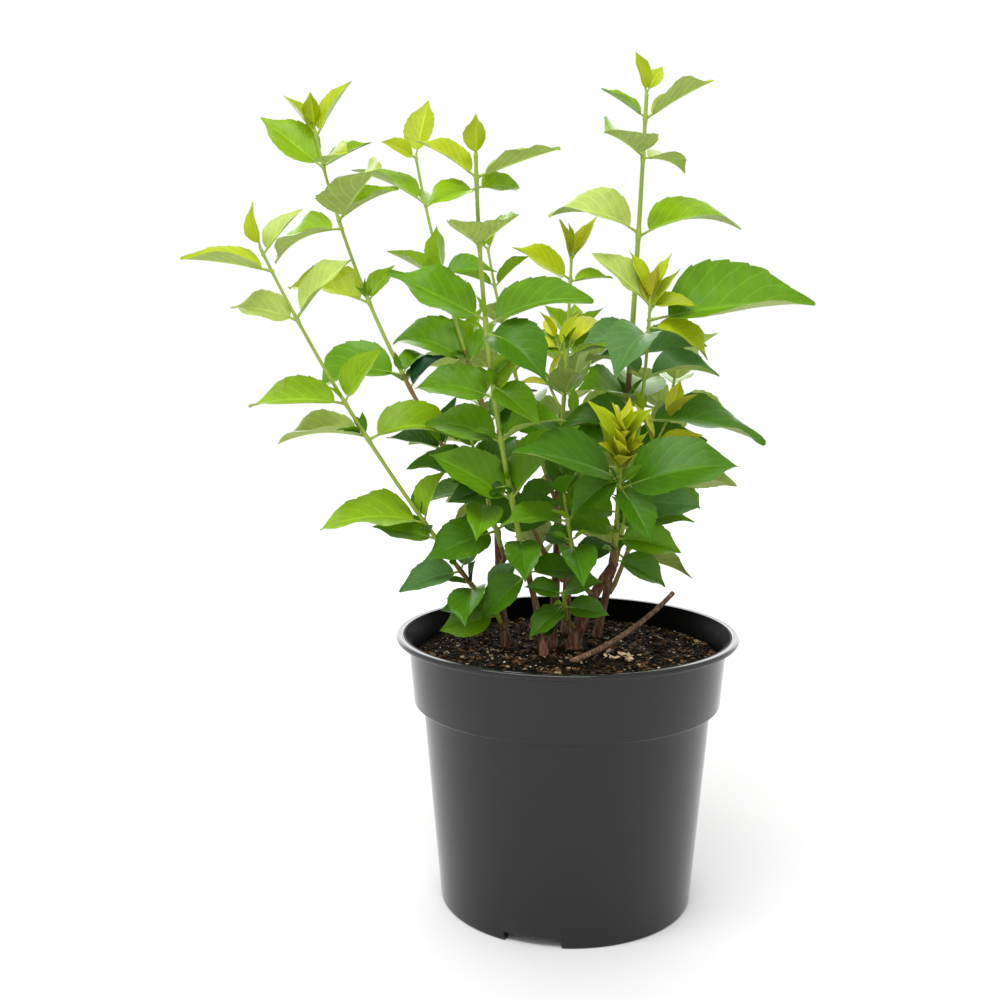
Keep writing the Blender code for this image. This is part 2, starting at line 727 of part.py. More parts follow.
def make_leaf(root, direction, turn, spread, droop, length, light, draws):
    """A leaf as named sizes, with its seeded share of unevenness."""
    roll, lean, tuck = draws
    along, face = leaf_axes(direction, turn + 5.0 * lean, spread, 14.0 * roll, light)
    young = length < YOUNG_LENGTH
    return {
        "root": root - ROOT_DEPTH * along,
        "along": along,
        "face": face,
        "length": length * (1.0 - LEAF_STALK),
        "stalk": max(length * LEAF_STALK, 2.6) + ROOT_DEPTH,
        "droop": droop,
        "fold": (YOUNG_FOLD if young else LEAF_FOLD) + 7.0 * tuck,
    }


def tree_of(vertices, faces):
    return BVHTree.FromPolygons([Vector(v) for v in vertices], faces, epsilon=0.0)


def object_tree(thing):
    mesh = thing.data
    points = [v.co / MM for v in mesh.vertices]
    return tree_of(points, [tuple(p.vertices) for p in mesh.polygons])


def touches(blade, whole, owner, taken):
    """Whether a leaf comes too near another. On its own shoot only the blade counts."""
    for other_owner, other_blade, other_whole in taken:
        if other_owner == owner:
            if blade.overlap(other_blade):
                return True
        elif whole.overlap(other_whole):
            return True
    return False


def place_leaf(wish, owner, taken):
    """Try a leaf as wished and then a little off, and give the first that touches nothing."""
    root, direction, turn, spread, droop, length, light, draws = wish
    for more_turn, more_spread, size in RETRIES:
        leaf = make_leaf(
            root, direction, turn + more_turn, spread + more_spread, droop,
            length * size, light, draws,
        )
        blade = tree_of(*leaf_solid(leaf, CLEARANCE, True))
        whole = tree_of(*leaf_solid(leaf, CLEARANCE))
        if not touches(blade, whole, owner, taken):
            taken.append((owner, blade, whole))
            return leaf
    return None


def shoot_wishes(shoot, chance):
    """Every leaf that a shoot would have, pair by pair, and its side twigs as tubes."""
    path = shoot_path(shoot, 40)
    wishes = []
    twigs = []
    for height, turn, length, opposite, spread, droop, tilt in shoot["pairs"]:
        root, direction = point_at_height(path, height)
        light = tilt * shoot["light"]
        for flip, size in ((0.0, length), (180.0, opposite)):
            draws = [chance.uniform(-1.0, 1.0) for _ in range(3)]
            if size > 0:
                foot = root + OPPOSITE_STEP * (flip / 180.0) * direction
                wishes.append((foot, direction, turn + flip, spread, droop, size, light, draws))
    for height, turn, length, spread, leaf in shoot["twigs"]:
        root, direction = point_at_height(path, height)
        along = leaf_axes(direction, turn, spread, 0.0, shoot["light"])[0]
        tip = root + length * (along + Vector((0.0, 0.0, 0.35))).normalized()
        twig = bent_path(root, tip, (0, 0, -1.0), TWIG_RINGS)
        twigs.append(twig)
        for index, (part, size) in enumerate(TWIG_PAIRS):
            point = twig[0].lerp(twig[-1], part)
            heading = (twig[-1] - twig[0]).normalized()
            spread_here = 50.0 - 18.0 * index
            for flip in (0.0, 180.0):
                draws = [chance.uniform(-1.0, 1.0) for _ in range(3)]
                wishes.append((point, heading, turn + 90.0 * index + flip, spread_here,
                               15.0, leaf * size, shoot["light"], draws))
    return wishes, twigs


def drop_fins(work):
    """Delete pairs of faces that lie back to back on the same corners."""
    pairs = {}
    for face in work.faces:
        corners = tuple(sorted(vertex.index for vertex in face.verts))
        pairs.setdefault(corners, []).append(face)
    fins = [face for pair in pairs.values() if len(pair) > 1 for face in pair]
    if fins:
        bmesh.ops.delete(work, geom=fins, context="FACES")
    return len(fins)


def drop_scraps(work):
    """Drop loose scraps and sealed hollows, and keep the one outer body."""
    seen = set()
    bodies = []
    for face in work.faces:
        if face in seen:
            continue
        seen.add(face)
        body = [face]
        for member in body:
            for edge in member.edges:
                for other in edge.link_faces:
                    if other not in seen:
                        seen.add(other)
                        body.append(other)
        bodies.append(body)
    bodies.sort(key=len, reverse=True)
    extra = [face for body in bodies[1:] for face in body]
    if extra:
        bmesh.ops.delete(work, geom=extra, context="FACES")
    return len(bodies) - 1


def cleaned(source, mesh, merge_flat):
    """Tidy a fused mesh. Gives what was dropped, and a point where it isn't closed."""
    work = bmesh.new()
    work.from_mesh(source)
    if merge_flat:
        bmesh.ops.dissolve_limit(
            work, angle_limit=FLAT_ANGLE, verts=work.verts, edges=work.edges,
        )
    bmesh.ops.triangulate(work, faces=work.faces, ngon_method="EAR_CLIP")
    work.verts.index_update()
    fins = drop_fins(work)
    scraps = drop_scraps(work)
    loose = [vertex for vertex in work.verts if not vertex.link_faces]
    bmesh.ops.delete(work, geom=loose, context="VERTS")
    fault = None
    for edge in work.edges:
        if len(edge.link_faces) != 2:
            fault = (edge.verts[0].co + edge.verts[1].co) / 2.0 / MM
    work.to_mesh(mesh)
    work.free()
    return fins, scraps, fault


def united(name, solids, solver):
    """The mesh of one Boolean union on a collection of closed solids."""
    base = add_object(name, *solids[0])
    group = bpy.data.collections.new(name + "_parts")
    bpy.context.scene.collection.children.link(group)
    for index, (vertices, faces) in enumerate(solids[1:]):
        part = add_object(name + "_part_" + str(index), vertices, faces)
        bpy.context.scene.collection.objects.unlink(part)
        group.objects.link(part)
    union = base.modifiers.new("fuse", "BOOLEAN")
    union.operation = "UNION"
    union.operand_type = "COLLECTION"
    union.collection = group
    union.solver = solver
    bpy.context.view_layer.update()
    graph = bpy.context.evaluated_depsgraph_get()
    joined = bpy.data.meshes.new_from_object(base.evaluated_get(graph))
    for part in list(group.objects):
        bpy.data.objects.remove(part, do_unlink=True)
    bpy.data.objects.remove(base, do_unlink=True)
    bpy.data.collections.remove(group)
    return joined


def fuse(name, solids):
    """Join a shoot into one object. A leaf that can't be joined cleanly is left out."""
    while True:
        for solver, merge_flat in FUSE_WAYS:
            source = united(name, solids, solver)
            joined = bpy.data.meshes.new(name)
            fins, scraps, fault = cleaned(source, joined, merge_flat)
            if fault is None:
                thing = bpy.data.objects.new(name, joined)
                bpy.context.scene.collection.objects.link(thing)
                print(name, solver, merge_flat, len(joined.polygons), "faces,", fins, "fins,", scraps, "scraps")
                return thing
        nearest = min(
            solids[1:],
            key=lambda solid: min((Vector(v) - fault).length for v in solid[0]),
        )
        solids.remove(nearest)
        print(name, "leaves out a piece near", [round(part) for part in fault])


def shoot_colour(name):
    for word, colour in LEAF_GREENS.items():
        if name.startswith(word):
            return colour
    return LEAF_GREENS["right"] if "right" in name else LEAF_GREENS["left"]


def leafy_shoots(fixed):
    """Grow every shoot: all stems first, then the leaves, each kept clear of the rest."""
    taken = [(None, tree, tree) for tree in fixed]
    plans = []
    for index, shoot in enumerate(SHOOTS):
        name = shoot["name"]
        wishes, twigs = shoot_wishes(shoot, random.Random(SEED + index))
        solids = [shoot_stem(shoot)]
        solids += [tube(twig, radii_for(TWIG_R, TWIG_RINGS), 3) for twig in twigs]
        for solid in solids:
            tree = tree_of(*solid)
            taken.append((name, tree, tree))
        plans.append((name, wishes, solids))
    lost = 0
    kept = 0
    for name, wishes, solids in plans:
        for wish in wishes:
            leaf = place_leaf(wish, name, taken)
            if leaf is None:
                lost += 1
                print("left out:", name, "leaf at height", round(wish[0].z))
            else:
                kept += 1
                solids.append(leaf_solid(leaf))
        mass = fuse(name, solids)
        give_material(mass, shoot_colour(name))
    print("leaves kept", kept, "left out", lost)


def radii_for(ends, count):
    return [ends[0] + (ends[1] - ends[0]) * i / (count - 1) for i in range(count)]


def main():
    clear_scene()
    fixed = [object_tree(pot()), object_tree(soil())]
    fixed += [object_tree(cane(name)) for name in CANES]
    fixed.append(object_tree(pruned_stub()))
    leafy_shoots(fixed)


main()
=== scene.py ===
# %% [markdown]
# # A young mock orange in its nursery pot
#
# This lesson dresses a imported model. The real thing is a garden shrub, about 46 cm tall with
# its pot: a glossy black pot, dark potting soil, woody canes, and green shoots with leaves in
# opposite pairs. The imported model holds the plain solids. Here each of them gets the surface,
# colour and fine shape that the real one shows, in the same place and at the same size.

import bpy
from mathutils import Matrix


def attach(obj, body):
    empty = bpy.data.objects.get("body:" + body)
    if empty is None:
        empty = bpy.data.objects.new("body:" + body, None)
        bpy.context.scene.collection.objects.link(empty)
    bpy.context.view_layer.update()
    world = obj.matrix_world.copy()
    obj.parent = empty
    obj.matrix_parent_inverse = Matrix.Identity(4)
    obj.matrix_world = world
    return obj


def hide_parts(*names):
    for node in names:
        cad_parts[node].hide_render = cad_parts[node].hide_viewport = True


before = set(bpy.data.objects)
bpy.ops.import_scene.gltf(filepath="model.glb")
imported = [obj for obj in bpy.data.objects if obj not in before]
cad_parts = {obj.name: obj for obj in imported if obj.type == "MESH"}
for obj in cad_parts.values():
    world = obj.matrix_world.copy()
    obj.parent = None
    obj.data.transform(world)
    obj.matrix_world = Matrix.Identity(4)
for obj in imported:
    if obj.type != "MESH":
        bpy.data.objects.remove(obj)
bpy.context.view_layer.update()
print("CAD nodes", len(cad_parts))

# %% [markdown]
# ## The camera
#
# The photograph was taken a little above the pot's rim, from about 65 cm. At that distance
# the view into the pot and the taper of the pot's sides come out right. The lens follows from
# how large the rim looks. The camera comes first, so that every later choice is made in view.

# %% The camera
import math
import random

import bpy
import numpy as np
from mathutils import Matrix, Vector, noise
from mathutils.bvhtree import BVHTree

MM = 0.001
CAMERA_DISTANCE = 0.65
CAMERA_HEIGHT = 0.3055
CAMERA_SIDE = -0.0367
CAMERA_PITCH = 7.3
FOCAL_PIXELS = 1204.0
IMAGE_PIXELS = 1000.0
SENSOR_WIDTH = 36.0

camera_data = bpy.data.cameras.new("camera")
camera_data.sensor_width = SENSOR_WIDTH
camera_data.lens = FOCAL_PIXELS / IMAGE_PIXELS * SENSOR_WIDTH
camera = bpy.data.objects.new("camera", camera_data)
camera.location = (CAMERA_SIDE, -CAMERA_DISTANCE, CAMERA_HEIGHT)
camera.rotation_euler = (math.radians(90.0 - CAMERA_PITCH), 0.0, 0.0)
bpy.context.scene.collection.objects.link(camera)
bpy.context.scene.camera = camera
print("lens", round(camera_data.lens, 1), "mm")

# %% [markdown]
# ## Colours and nodes
#
# A listed colour is an sRGB value, and a shader wants a linear one, so one function
# turns a hex code into linear numbers. A second one adds any node with its settings and its
# links in one line, which keeps the materials below short enough to read.

# %% Two small helpers for materials
def hex_colour(code):
    """Linear red, green, blue and alpha from an sRGB hex code."""
    parts = [int(code[start:start + 2], 16) / 255.0 for start in (1, 3, 5)]
    linear = [p / 12.92 if p <= 0.04045 else ((p + 0.055) / 1.055) ** 2.4 for p in parts]
    return linear + [1.0]


def add_node(material, kind, settings=None, links=None):
    """Add a node. Settings are sockets or properties by name, links are sockets that feed it."""
    node = material.node_tree.nodes.new(kind)
    for key, value in (settings or {}).items():
        if isinstance(key, int) or key in node.inputs:
            node.inputs[key].default_value = value
        else:
            setattr(node, key, value)
    for key, source in (links or {}).items():
        material.node_tree.links.new(source, node.inputs[key])
    return node


def new_material(name, **sockets):
    """A material with one Principled shader, and that shader with some of its sockets set."""
    material = bpy.data.materials.new(name)
    material.use_nodes = True
    shader = material.node_tree.nodes["Principled BSDF"]
    for socket, value in sockets.items():
        shader.inputs[socket.replace("_", " ")].default_value = value
    return material, shader


def feed(material, source, shader, socket):
    """Link one output to a socket of the shader."""
    material.node_tree.links.new(source, shader.inputs[socket])


print("mid grey in linear", round(hex_colour("#808080")[0], 3))

# %% [markdown]
# ## Light and floor
#
# A plant is photographed for a shop in front of a bright white backdrop, with soft light from
# all round. So the world is white, and a wide lamp stands behind as the backdrop. It is
# brighter than white, which lights the edges of the leaves and makes the sides of the black
# pot fade to pale grey. A long strip lamp above the front gives the folds of the leaves a
# light and a dark side. The floor is a wide pale sheet. It is a mesh with a faint paper
# grain, and it isn't part of the object.

# %% The light
WORLD_STRENGTH = 1.0
PLANT_MIDDLE = Vector((-0.03, 0.0, 0.25))
# Place in metres, power in watts, length and width in metres.
LAMPS = {
    "strip_lamp": (Vector((-0.5, -0.9, 1.7)), 26.0, 2.0, 0.5),
    "backdrop_lamp": (Vector((0.0, 2.6, 1.35)), 80.0, 5.6, 2.7),
}

world = bpy.data.worlds.new("studio")
world.use_nodes = True
world.node_tree.nodes["Background"].inputs["Color"].default_value = (1.0, 1.0, 1.0, 1.0)
world.node_tree.nodes["Background"].inputs["Strength"].default_value = WORLD_STRENGTH
bpy.context.scene.world = world
bpy.context.scene.view_settings.view_transform = "Standard"


def soft_lamp(name, place, power, length, width):
    """A long area lamp that lies across the view and looks at the middle of the plant."""
    lamp_data = bpy.data.lights.new(name, "AREA")
    lamp_data.shape = "RECTANGLE"
    lamp_data.energy = power
    lamp_data.size = length
    lamp_data.size_y = width
    lamp = bpy.data.objects.new(name, lamp_data)
    lamp.location = place
    lamp.rotation_mode = "QUATERNION"
    lamp.rotation_quaternion = (PLANT_MIDDLE - place).to_track_quat("-Z", "Y")
    bpy.context.scene.collection.objects.link(lamp)


for lamp_name, (place, power, length, width) in LAMPS.items():
    soft_lamp(lamp_name, place, power, length, width)
print("lamps", len(bpy.data.lights))

# %% A function that makes any mesh piece
def mesh_piece(name, vertices, faces, materials, slots=None, uvs=None):
    """A smooth shaded mesh object from points in millimetres, with a material per face."""
    mesh = bpy.data.meshes.new(name)
    mesh.from_pydata([tuple(MM * part for part in v) for v in vertices], [], faces)
    for material in materials:
        mesh.materials.append(material)
    if slots is not None:
        mesh.polygons.foreach_set("material_index", np.array(slots, np.int32))
    if uvs is not None:
        layer = mesh.uv_layers.new(name="leaf")
        corners = np.zeros(len(mesh.loops), np.int32)
        mesh.loops.foreach_get("vertex_index", corners)
        layer.data.foreach_set("uv", np.array(uvs, np.float32)[corners].ravel())
    mesh.shade_smooth()
    mesh.update()
    piece = bpy.data.objects.new(name, mesh)
    bpy.context.scene.collection.objects.link(piece)
    return piece


print("pieces are drawn in units of", MM, "m")

# %% The floor
FLOOR_HALF = 2550.0
floor_corners = [
    (-FLOOR_HALF, -FLOOR_HALF, 0.0), (FLOOR_HALF, -FLOOR_HALF, 0.0),
    (FLOOR_HALF, FLOOR_HALF, 0.0), (-FLOOR_HALF, FLOOR_HALF, 0.0),
]
floor_paper, floor_shader = new_material("matt_paper", Roughness=0.8, Specular_IOR_Level=0.2)
paper_place = add_node(floor_paper, "ShaderNodeTexCoord")
PAPER_GRAIN_MM = 1.5
paper_grain = add_node(
    floor_paper, "ShaderNodeTexNoise", {"Scale": 1.0 / (PAPER_GRAIN_MM * MM)},
    {"Vector": paper_place.outputs["Object"]},
)
paper_colour = add_node(
    floor_paper, "ShaderNodeMix",
    {"data_type": "RGBA", 6: hex_colour("#DCDCDC"), 7: hex_colour("#DFDFDF")},
    {"Factor": paper_grain.outputs["Fac"]},
)
feed(floor_paper, paper_colour.outputs[2], floor_shader, "Base Color")
floor = mesh_piece("floor", floor_corners, [(0, 1, 2, 3)], [floor_paper])
print("floor", 2 * FLOOR_HALF * MM, "m wide")

# %% [markdown]
# ## The pot
#
# A nursery pot is injection moulded from polypropylene, black all through. It could be a
# cylinder with a taper, but the rolled lip, the collar, the step below it and the stacking
# foot are what make it look real, so one profile is turned about the axis. The foot is cut
# by three drainage notches. They come straight from the turning: over a notch, the points of
# the foot are lifted, and the sides of the notch are a pair of nearly equal angles.

# %% The profile of the pot
RIM_R = 93.5
POT_HEIGHT = 150.0
LIP_HEIGHT = 3.2
MOUTH_R = 88.6
COLLAR_TOP_R = 87.2
COLLAR_FOOT_R = 84.2
COLLAR_FOOT_Z = 114.0
STEP_DROP = 2.5
BODY_TOP_R = 79.2
BASE_R = 69.8
WALL = 1.8
FLOOR_UNDERSIDE = 5.0
FLOOR_THICKNESS = 2.0
SKIRT_WIDTH = 4.5
PAD_R = 22.0
NOTCH_COUNT = 3
NOTCH_WIDTH = 31.0
NOTCH_FIRST_TURN = 253.0
# Radii of the rounded corners of the profile, from the foot up.
FOOT_ROUND = 1.2
STEP_ROUND = 1.0
COLLAR_ROUND = 1.2
NECK_ROUND = 1.1
LIP_FOOT_ROUND = 1.1
LIP_TOP_ROUND = 1.3
MOUTH_ROUND = 0.9
LIP_DISH = 0.3
FLOOR_TOP = FLOOR_UNDERSIDE + FLOOR_THICKNESS
POT_SEGMENTS = 180
# How many points at the end of the profile lie below the lip, on the inside.
INNER_POINTS = 11
print("pot", 2.0 * RIM_R, "mm wide and", POT_HEIGHT, "mm high")

# %% Its rounded corners and its whole line
def rounded(centre_r, centre_z, radius, start, stop, count):
    """Points on a small arc of the profile, from one angle to another in degrees."""
    points = []
    for index in range(count):
        angle = math.radians(start + (stop - start) * index / (count - 1))
        points.append((centre_r + radius * math.cos(angle), centre_z + radius * math.sin(angle)))
    return points


def pot_profile():
    """Radius and height of the pot's skin, from the underside's middle round to the floor."""
    lip_foot = POT_HEIGHT - LIP_HEIGHT
    step = COLLAR_FOOT_Z - STEP_DROP
    profile = [(0.0, 0.0), (PAD_R - 0.8, 0.0), (PAD_R, 0.5), (PAD_R + 0.6, 4.2)]
    profile += [(PAD_R + 1.6, FLOOR_UNDERSIDE), (BASE_R - SKIRT_WIDTH - 1.0, FLOOR_UNDERSIDE)]
    profile += [(BASE_R - SKIRT_WIDTH, FLOOR_UNDERSIDE - 0.8), (BASE_R - SKIRT_WIDTH, 0.0)]
    profile += rounded(BASE_R - FOOT_ROUND, FOOT_ROUND, FOOT_ROUND, -90.0, 0.0, 5)
    for part in (0.04, 0.15, 0.4, 0.7, 0.95):
        radius = BASE_R + part * (BODY_TOP_R - BASE_R)
        profile.append((radius, FOOT_ROUND + part * (step - FOOT_ROUND)))
    profile += rounded(BODY_TOP_R + STEP_ROUND, step - 0.6, STEP_ROUND, 180.0, 90.0, 4)
    profile += rounded(COLLAR_FOOT_R - COLLAR_ROUND, step + 1.6, COLLAR_ROUND, -90.0, 0.0, 5)
    for part in (0.3, 0.6, 0.9):
        radius = COLLAR_FOOT_R + part * (COLLAR_TOP_R - COLLAR_FOOT_R)
        profile.append((radius, COLLAR_FOOT_Z + part * (lip_foot - COLLAR_FOOT_Z)))
    profile += rounded(COLLAR_TOP_R + NECK_ROUND, lip_foot - 1.0, NECK_ROUND, 180.0, 90.0, 4)
    low, high = LIP_FOOT_ROUND, LIP_TOP_ROUND
    profile += rounded(RIM_R - low, lip_foot + low, low, -90.0, 0.0, 5)
    profile += rounded(RIM_R - high, POT_HEIGHT - high, high, 0.0, 90.0, 5)
    dished = POT_HEIGHT - LIP_DISH
    profile += [(RIM_R - 2.3, dished), (MOUTH_R + 1.3, dished)]
    profile += rounded(MOUTH_R + MOUTH_ROUND, POT_HEIGHT - 1.0, MOUTH_ROUND, 75.0, 190.0, 6)
    profile += [(COLLAR_TOP_R - WALL, lip_foot - 1.0), (COLLAR_FOOT_R - WALL, COLLAR_FOOT_Z)]
    profile += [(BODY_TOP_R - WALL, step), (BASE_R - WALL, FLOOR_TOP), (0.0, FLOOR_TOP)]
    return profile


pot_line = pot_profile()
print("pot profile points", len(pot_line))

# %% The drainage notches
def notch_turns():
    """The pair of angles, in degrees, that each drainage notch lies between."""
    half = math.degrees(NOTCH_WIDTH / 2.0 / BASE_R)
    middles = [NOTCH_FIRST_TURN + 360.0 * index / NOTCH_COUNT for index in range(NOTCH_COUNT)]
    return [((middle - half) % 360.0, (middle + half) % 360.0) for middle in middles]


def in_notch(turn):
    """Whether an angle lies in any of the notches."""
    return any(0.0 <= (turn - low) % 360.0 <= (high - low) % 360.0 for low, high in notch_turns())


print("notches from", [round(low) for low, _ in notch_turns()], "degrees")

# %% The turned pot
# How nearly equal the angles at a side of a notch are, in degrees, how far inside the skirt
# the lifted points start, and how far below the floor they stay, in millimetres.
NOTCH_EDGE = 0.03
NOTCH_START = 1.5
NOTCH_SHY = 0.05


def turned_pot(profile):
    """Turn the profile, with the foot lifted where a notch is. Slot 1 is the inside."""
    turns = [360.0 * index / POT_SEGMENTS for index in range(POT_SEGMENTS)]
    for low, high in notch_turns():
        turns += [low - NOTCH_EDGE, low + NOTCH_EDGE, high - NOTCH_EDGE, high + NOTCH_EDGE]
    turns = sorted(turn % 360.0 for turn in turns)
    vertices = [(0.0, 0.0, profile[0][1])]
    for radius, height in profile[1:-1]:
        in_foot = radius > BASE_R - SKIRT_WIDTH - NOTCH_START and height < FLOOR_UNDERSIDE
        for turn in turns:
            lifted = FLOOR_UNDERSIDE - NOTCH_SHY if in_foot and in_notch(turn) else height
            angle = math.radians(turn)
            vertices.append((radius * math.cos(angle), radius * math.sin(angle), lifted))
    vertices.append((0.0, 0.0, profile[-1][1]))
    count = len(turns)
    last = len(vertices) - 1
    faces, slots = [], []
    for step in range(count):
        after = (step + 1) % count
        faces.append((0, 1 + after, 1 + step))
        slots.append(0)
        for ring in range(len(profile) - 3):
            low = 1 + ring * count
            faces.append((low + step, low + after, low + count + after, low + count + step))
            slots.append(1 if ring >= len(profile) - INNER_POINTS - 2 else 0)
        top = 1 + (len(profile) - 3) * count
        faces.append((top + step, top + after, last))
        slots.append(1)
    return vertices, faces, slots


pot_points, pot_faces, pot_slots = turned_pot(pot_line)
print("pot faces", len(pot_faces))

# %% [markdown]
# ## Black polypropylene
#
# Polypropylene leaves the mould with the polish of the steel, so the pot is a clear gloss
# over a deep black: index of refraction 1.49, low roughness, no metal. Seen square on it
# gives back only a twenty-fifth of the light, and towards its sides it brightens to pale
# grey. Handling dulls it in faint patches, and the moulding leaves a slow waviness. Both are
# noise, one in roughness and one in bump. Inside, below the polished lip, the wall and floor
# are a darker black with almost no gloss: painted shade for the inside of the pot.

# %% The pot's plastic
WAVE_MM = 22.0
SCUFF_MM = 5.0


def polypropylene(name, clean, dusty, polished, dulled, gloss=0.5):
    """Moulded plastic between two colours and two roughnesses, mixed by handling scuffs."""
    material, shader = new_material(name, IOR=1.49, Metallic=0.0, Specular_IOR_Level=gloss)
    place = add_node(material, "ShaderNodeTexCoord")
    object_place = {"Vector": place.outputs["Object"]}
    waves = add_node(material, "ShaderNodeTexNoise", {"Scale": 1.0 / (WAVE_MM * MM)}, object_place)
    scuffs = add_node(
        material, "ShaderNodeTexNoise",
        {"Scale": 1.0 / (SCUFF_MM * MM), "Detail": 8.0, "Roughness": 0.65}, object_place,
    )
    dull = add_node(
        material, "ShaderNodeMapRange",
        {"From Min": 0.35, "From Max": 0.75, "To Min": polished, "To Max": dulled},
        {"Value": scuffs.outputs["Fac"]},
    )
    dust = add_node(
        material, "ShaderNodeMapRange",
        {"From Min": 0.6, "From Max": 0.9, "To Min": 0.0, "To Max": 0.2},
        {"Value": scuffs.outputs["Fac"]},
    )
    colour = add_node(
        material, "ShaderNodeMix",
        {"data_type": "RGBA", 6: hex_colour(clean), 7: hex_colour(dusty)},
        {"Factor": dust.outputs["Result"]},
    )
    bump = add_node(
        material, "ShaderNodeBump", {"Strength": 0.12, "Distance": 0.4 * MM},
        {"Height": waves.outputs["Fac"]},
    )
    feed(material, colour.outputs[2], shader, "Base Color")
    feed(material, dull.outputs["Result"], shader, "Roughness")
    feed(material, bump.outputs["Normal"], shader, "Normal")
    return material


black_plastic = polypropylene("black_polypropylene", "#070708", "#151516", 0.10, 0.17)
# The inside: a darker black with almost no gloss, which paints the shade inside the pot.
inner_painted_shade_plastic = polypropylene("painted_shade_inner_wall", "#040303", "#0D0A08", 0.35, 0.5, 0.02)
pot = mesh_piece("nursery_pot", pot_points, pot_faces, [black_plastic, inner_painted_shade_plastic], pot_slots)
pot.data.set_sharp_from_angle(angle=math.radians(50.0))
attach(pot, "root")
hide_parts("pot")
print("pot", [round(side * 1000) for side in pot.dimensions], "mm")

# %% [markdown]
# ## The potting soil
#
# Peat compost is a dark, moist, crumbly ground with bits of bark and a few pale grains in
# it. A bump map alone looks like carpet from this near, so the ground is a mesh of its own:
# rings of points lifted by noise of two sizes. It fills the pot down to its floor as the
# solid does, and dips where it meets the wall.

# %% The ground of the soil
GAP = 0.3
SOIL_TOP = 140.0
SOIL_FLAT_R = 66.0
SOIL_EDGE_Z = 138.5
SOIL_RINGS = 46
SOIL_SEGMENTS = 200
CRUMB_MM = 3.2
CRUMB_LIFT = 1.1
CLOD_MM = 11.0
CLOD_LIFT = 0.9
GROUND_SINK = 1.3


def inner_radius(height):
    """The inside radius of the pot at a height."""
    if height > COLLAR_FOOT_Z:
        part = (height - COLLAR_FOOT_Z) / (POT_HEIGHT - COLLAR_FOOT_Z)
        return COLLAR_FOOT_R - WALL + part * (COLLAR_TOP_R - COLLAR_FOOT_R)
    part = height / (COLLAR_FOOT_Z - STEP_DROP)
    return BASE_R - WALL + part * (BODY_TOP_R - BASE_R)


def ground_height(x, y):
    """The height of the crumbly ground at a point, in millimetres."""
    radius = math.hypot(x, y)
    edge = inner_radius(SOIL_EDGE_Z)
    fall = max(0.0, (radius - SOIL_FLAT_R) / (edge - SOIL_FLAT_R))
    height = SOIL_TOP - (SOIL_TOP - SOIL_EDGE_Z) * fall - GROUND_SINK
    height += CLOD_LIFT * noise.noise(Vector((x, y, 3.0)) / CLOD_MM)
    height += CRUMB_LIFT * abs(noise.noise(Vector((x, y, 9.0)) / CRUMB_MM))
    return height


print("ground in the middle", round(ground_height(0.0, 0.0), 1), "mm above the pot's foot")

# %% Its skin
def soil_ground():
    """The ground's skin from the middle outwards, then down the wall to the pot's floor."""
    edge = inner_radius(SOIL_EDGE_Z) - 2.0 * GAP
    vertices = [(0.0, 0.0, ground_height(0.0, 0.0))]
    for ring in range(1, SOIL_RINGS + 1):
        radius = edge * ring / SOIL_RINGS
        for step in range(SOIL_SEGMENTS):
            angle = 2.0 * math.pi * step / SOIL_SEGMENTS
            x, y = radius * math.cos(angle), radius * math.sin(angle)
            vertices.append((x, y, ground_height(x, y)))
    step_z = COLLAR_FOOT_Z - STEP_DROP
    foot = FLOOR_TOP + GAP
    wall_line = [
        (COLLAR_FOOT_R - WALL - GAP, COLLAR_FOOT_Z + GAP),
        (BODY_TOP_R - WALL - GAP, step_z),
        (inner_radius(foot) - GAP, foot),
    ]
    for radius, height in wall_line:
        for step in range(SOIL_SEGMENTS):
            angle = 2.0 * math.pi * step / SOIL_SEGMENTS
            vertices.append((radius * math.cos(angle), radius * math.sin(angle), height))
    vertices.append((0.0, 0.0, foot))
    faces = []
    rings = SOIL_RINGS + len(wall_line)
    for step in range(SOIL_SEGMENTS):
        after = (step + 1) % SOIL_SEGMENTS
        faces.append((0, 1 + step, 1 + after))
        for ring in range(rings - 1):
            low = 1 + ring * SOIL_SEGMENTS
            high = low + SOIL_SEGMENTS
            faces.append((low + step, high + step, high + after, low + after))
        low = 1 + (rings - 1) * SOIL_SEGMENTS
        faces.append((low + step, len(vertices) - 1, low + after))
    return vertices, faces


ground_points, ground_faces = soil_ground()
print("ground faces", len(ground_faces))

# %% [markdown]
# ## Peat, bark and grit
#
# Moist peat is nearly black and takes no gloss, apart from a faint wet sheen. The crumbs on
# it are loose pieces: dark peat, brown chips of bark, tan chips of wood, white grit, and some
# large pale splinters that lie together near the stub. Each is a small uneven lump,
# flattened for bark and wood, laid on the ground by seeded chance.

# %% The finish of each kind of crumb
def crumbly(name, dark, light, roughness, grain_mm):
    """A rough natural stuff: two colours mixed by noise, and bump of the same grain."""
    material, shader = new_material(name, Roughness=roughness, Specular_IOR_Level=0.06)
    place = add_node(material, "ShaderNodeTexCoord")
    grain = add_node(
        material, "ShaderNodeTexNoise",
        {"Scale": 1.0 / (grain_mm * MM), "Detail": 6.0, "Roughness": 0.7},
        {"Vector": place.outputs["Object"]},
    )
    spread = add_node(
        material, "ShaderNodeMapRange", {"From Min": 0.35, "From Max": 0.65},
        {"Value": grain.outputs["Fac"]},
    )
    colour = add_node(
        material, "ShaderNodeMix",
        {"data_type": "RGBA", 6: hex_colour(dark), 7: hex_colour(light)},
        {"Factor": spread.outputs["Result"]},
    )
    bump = add_node(
        material, "ShaderNodeBump", {"Strength": 0.8, "Distance": 0.3 * grain_mm * MM},
        {"Height": grain.outputs["Fac"]},
    )
    feed(material, colour.outputs[2], shader, "Base Color")
    feed(material, bump.outputs["Normal"], shader, "Normal")
    return material


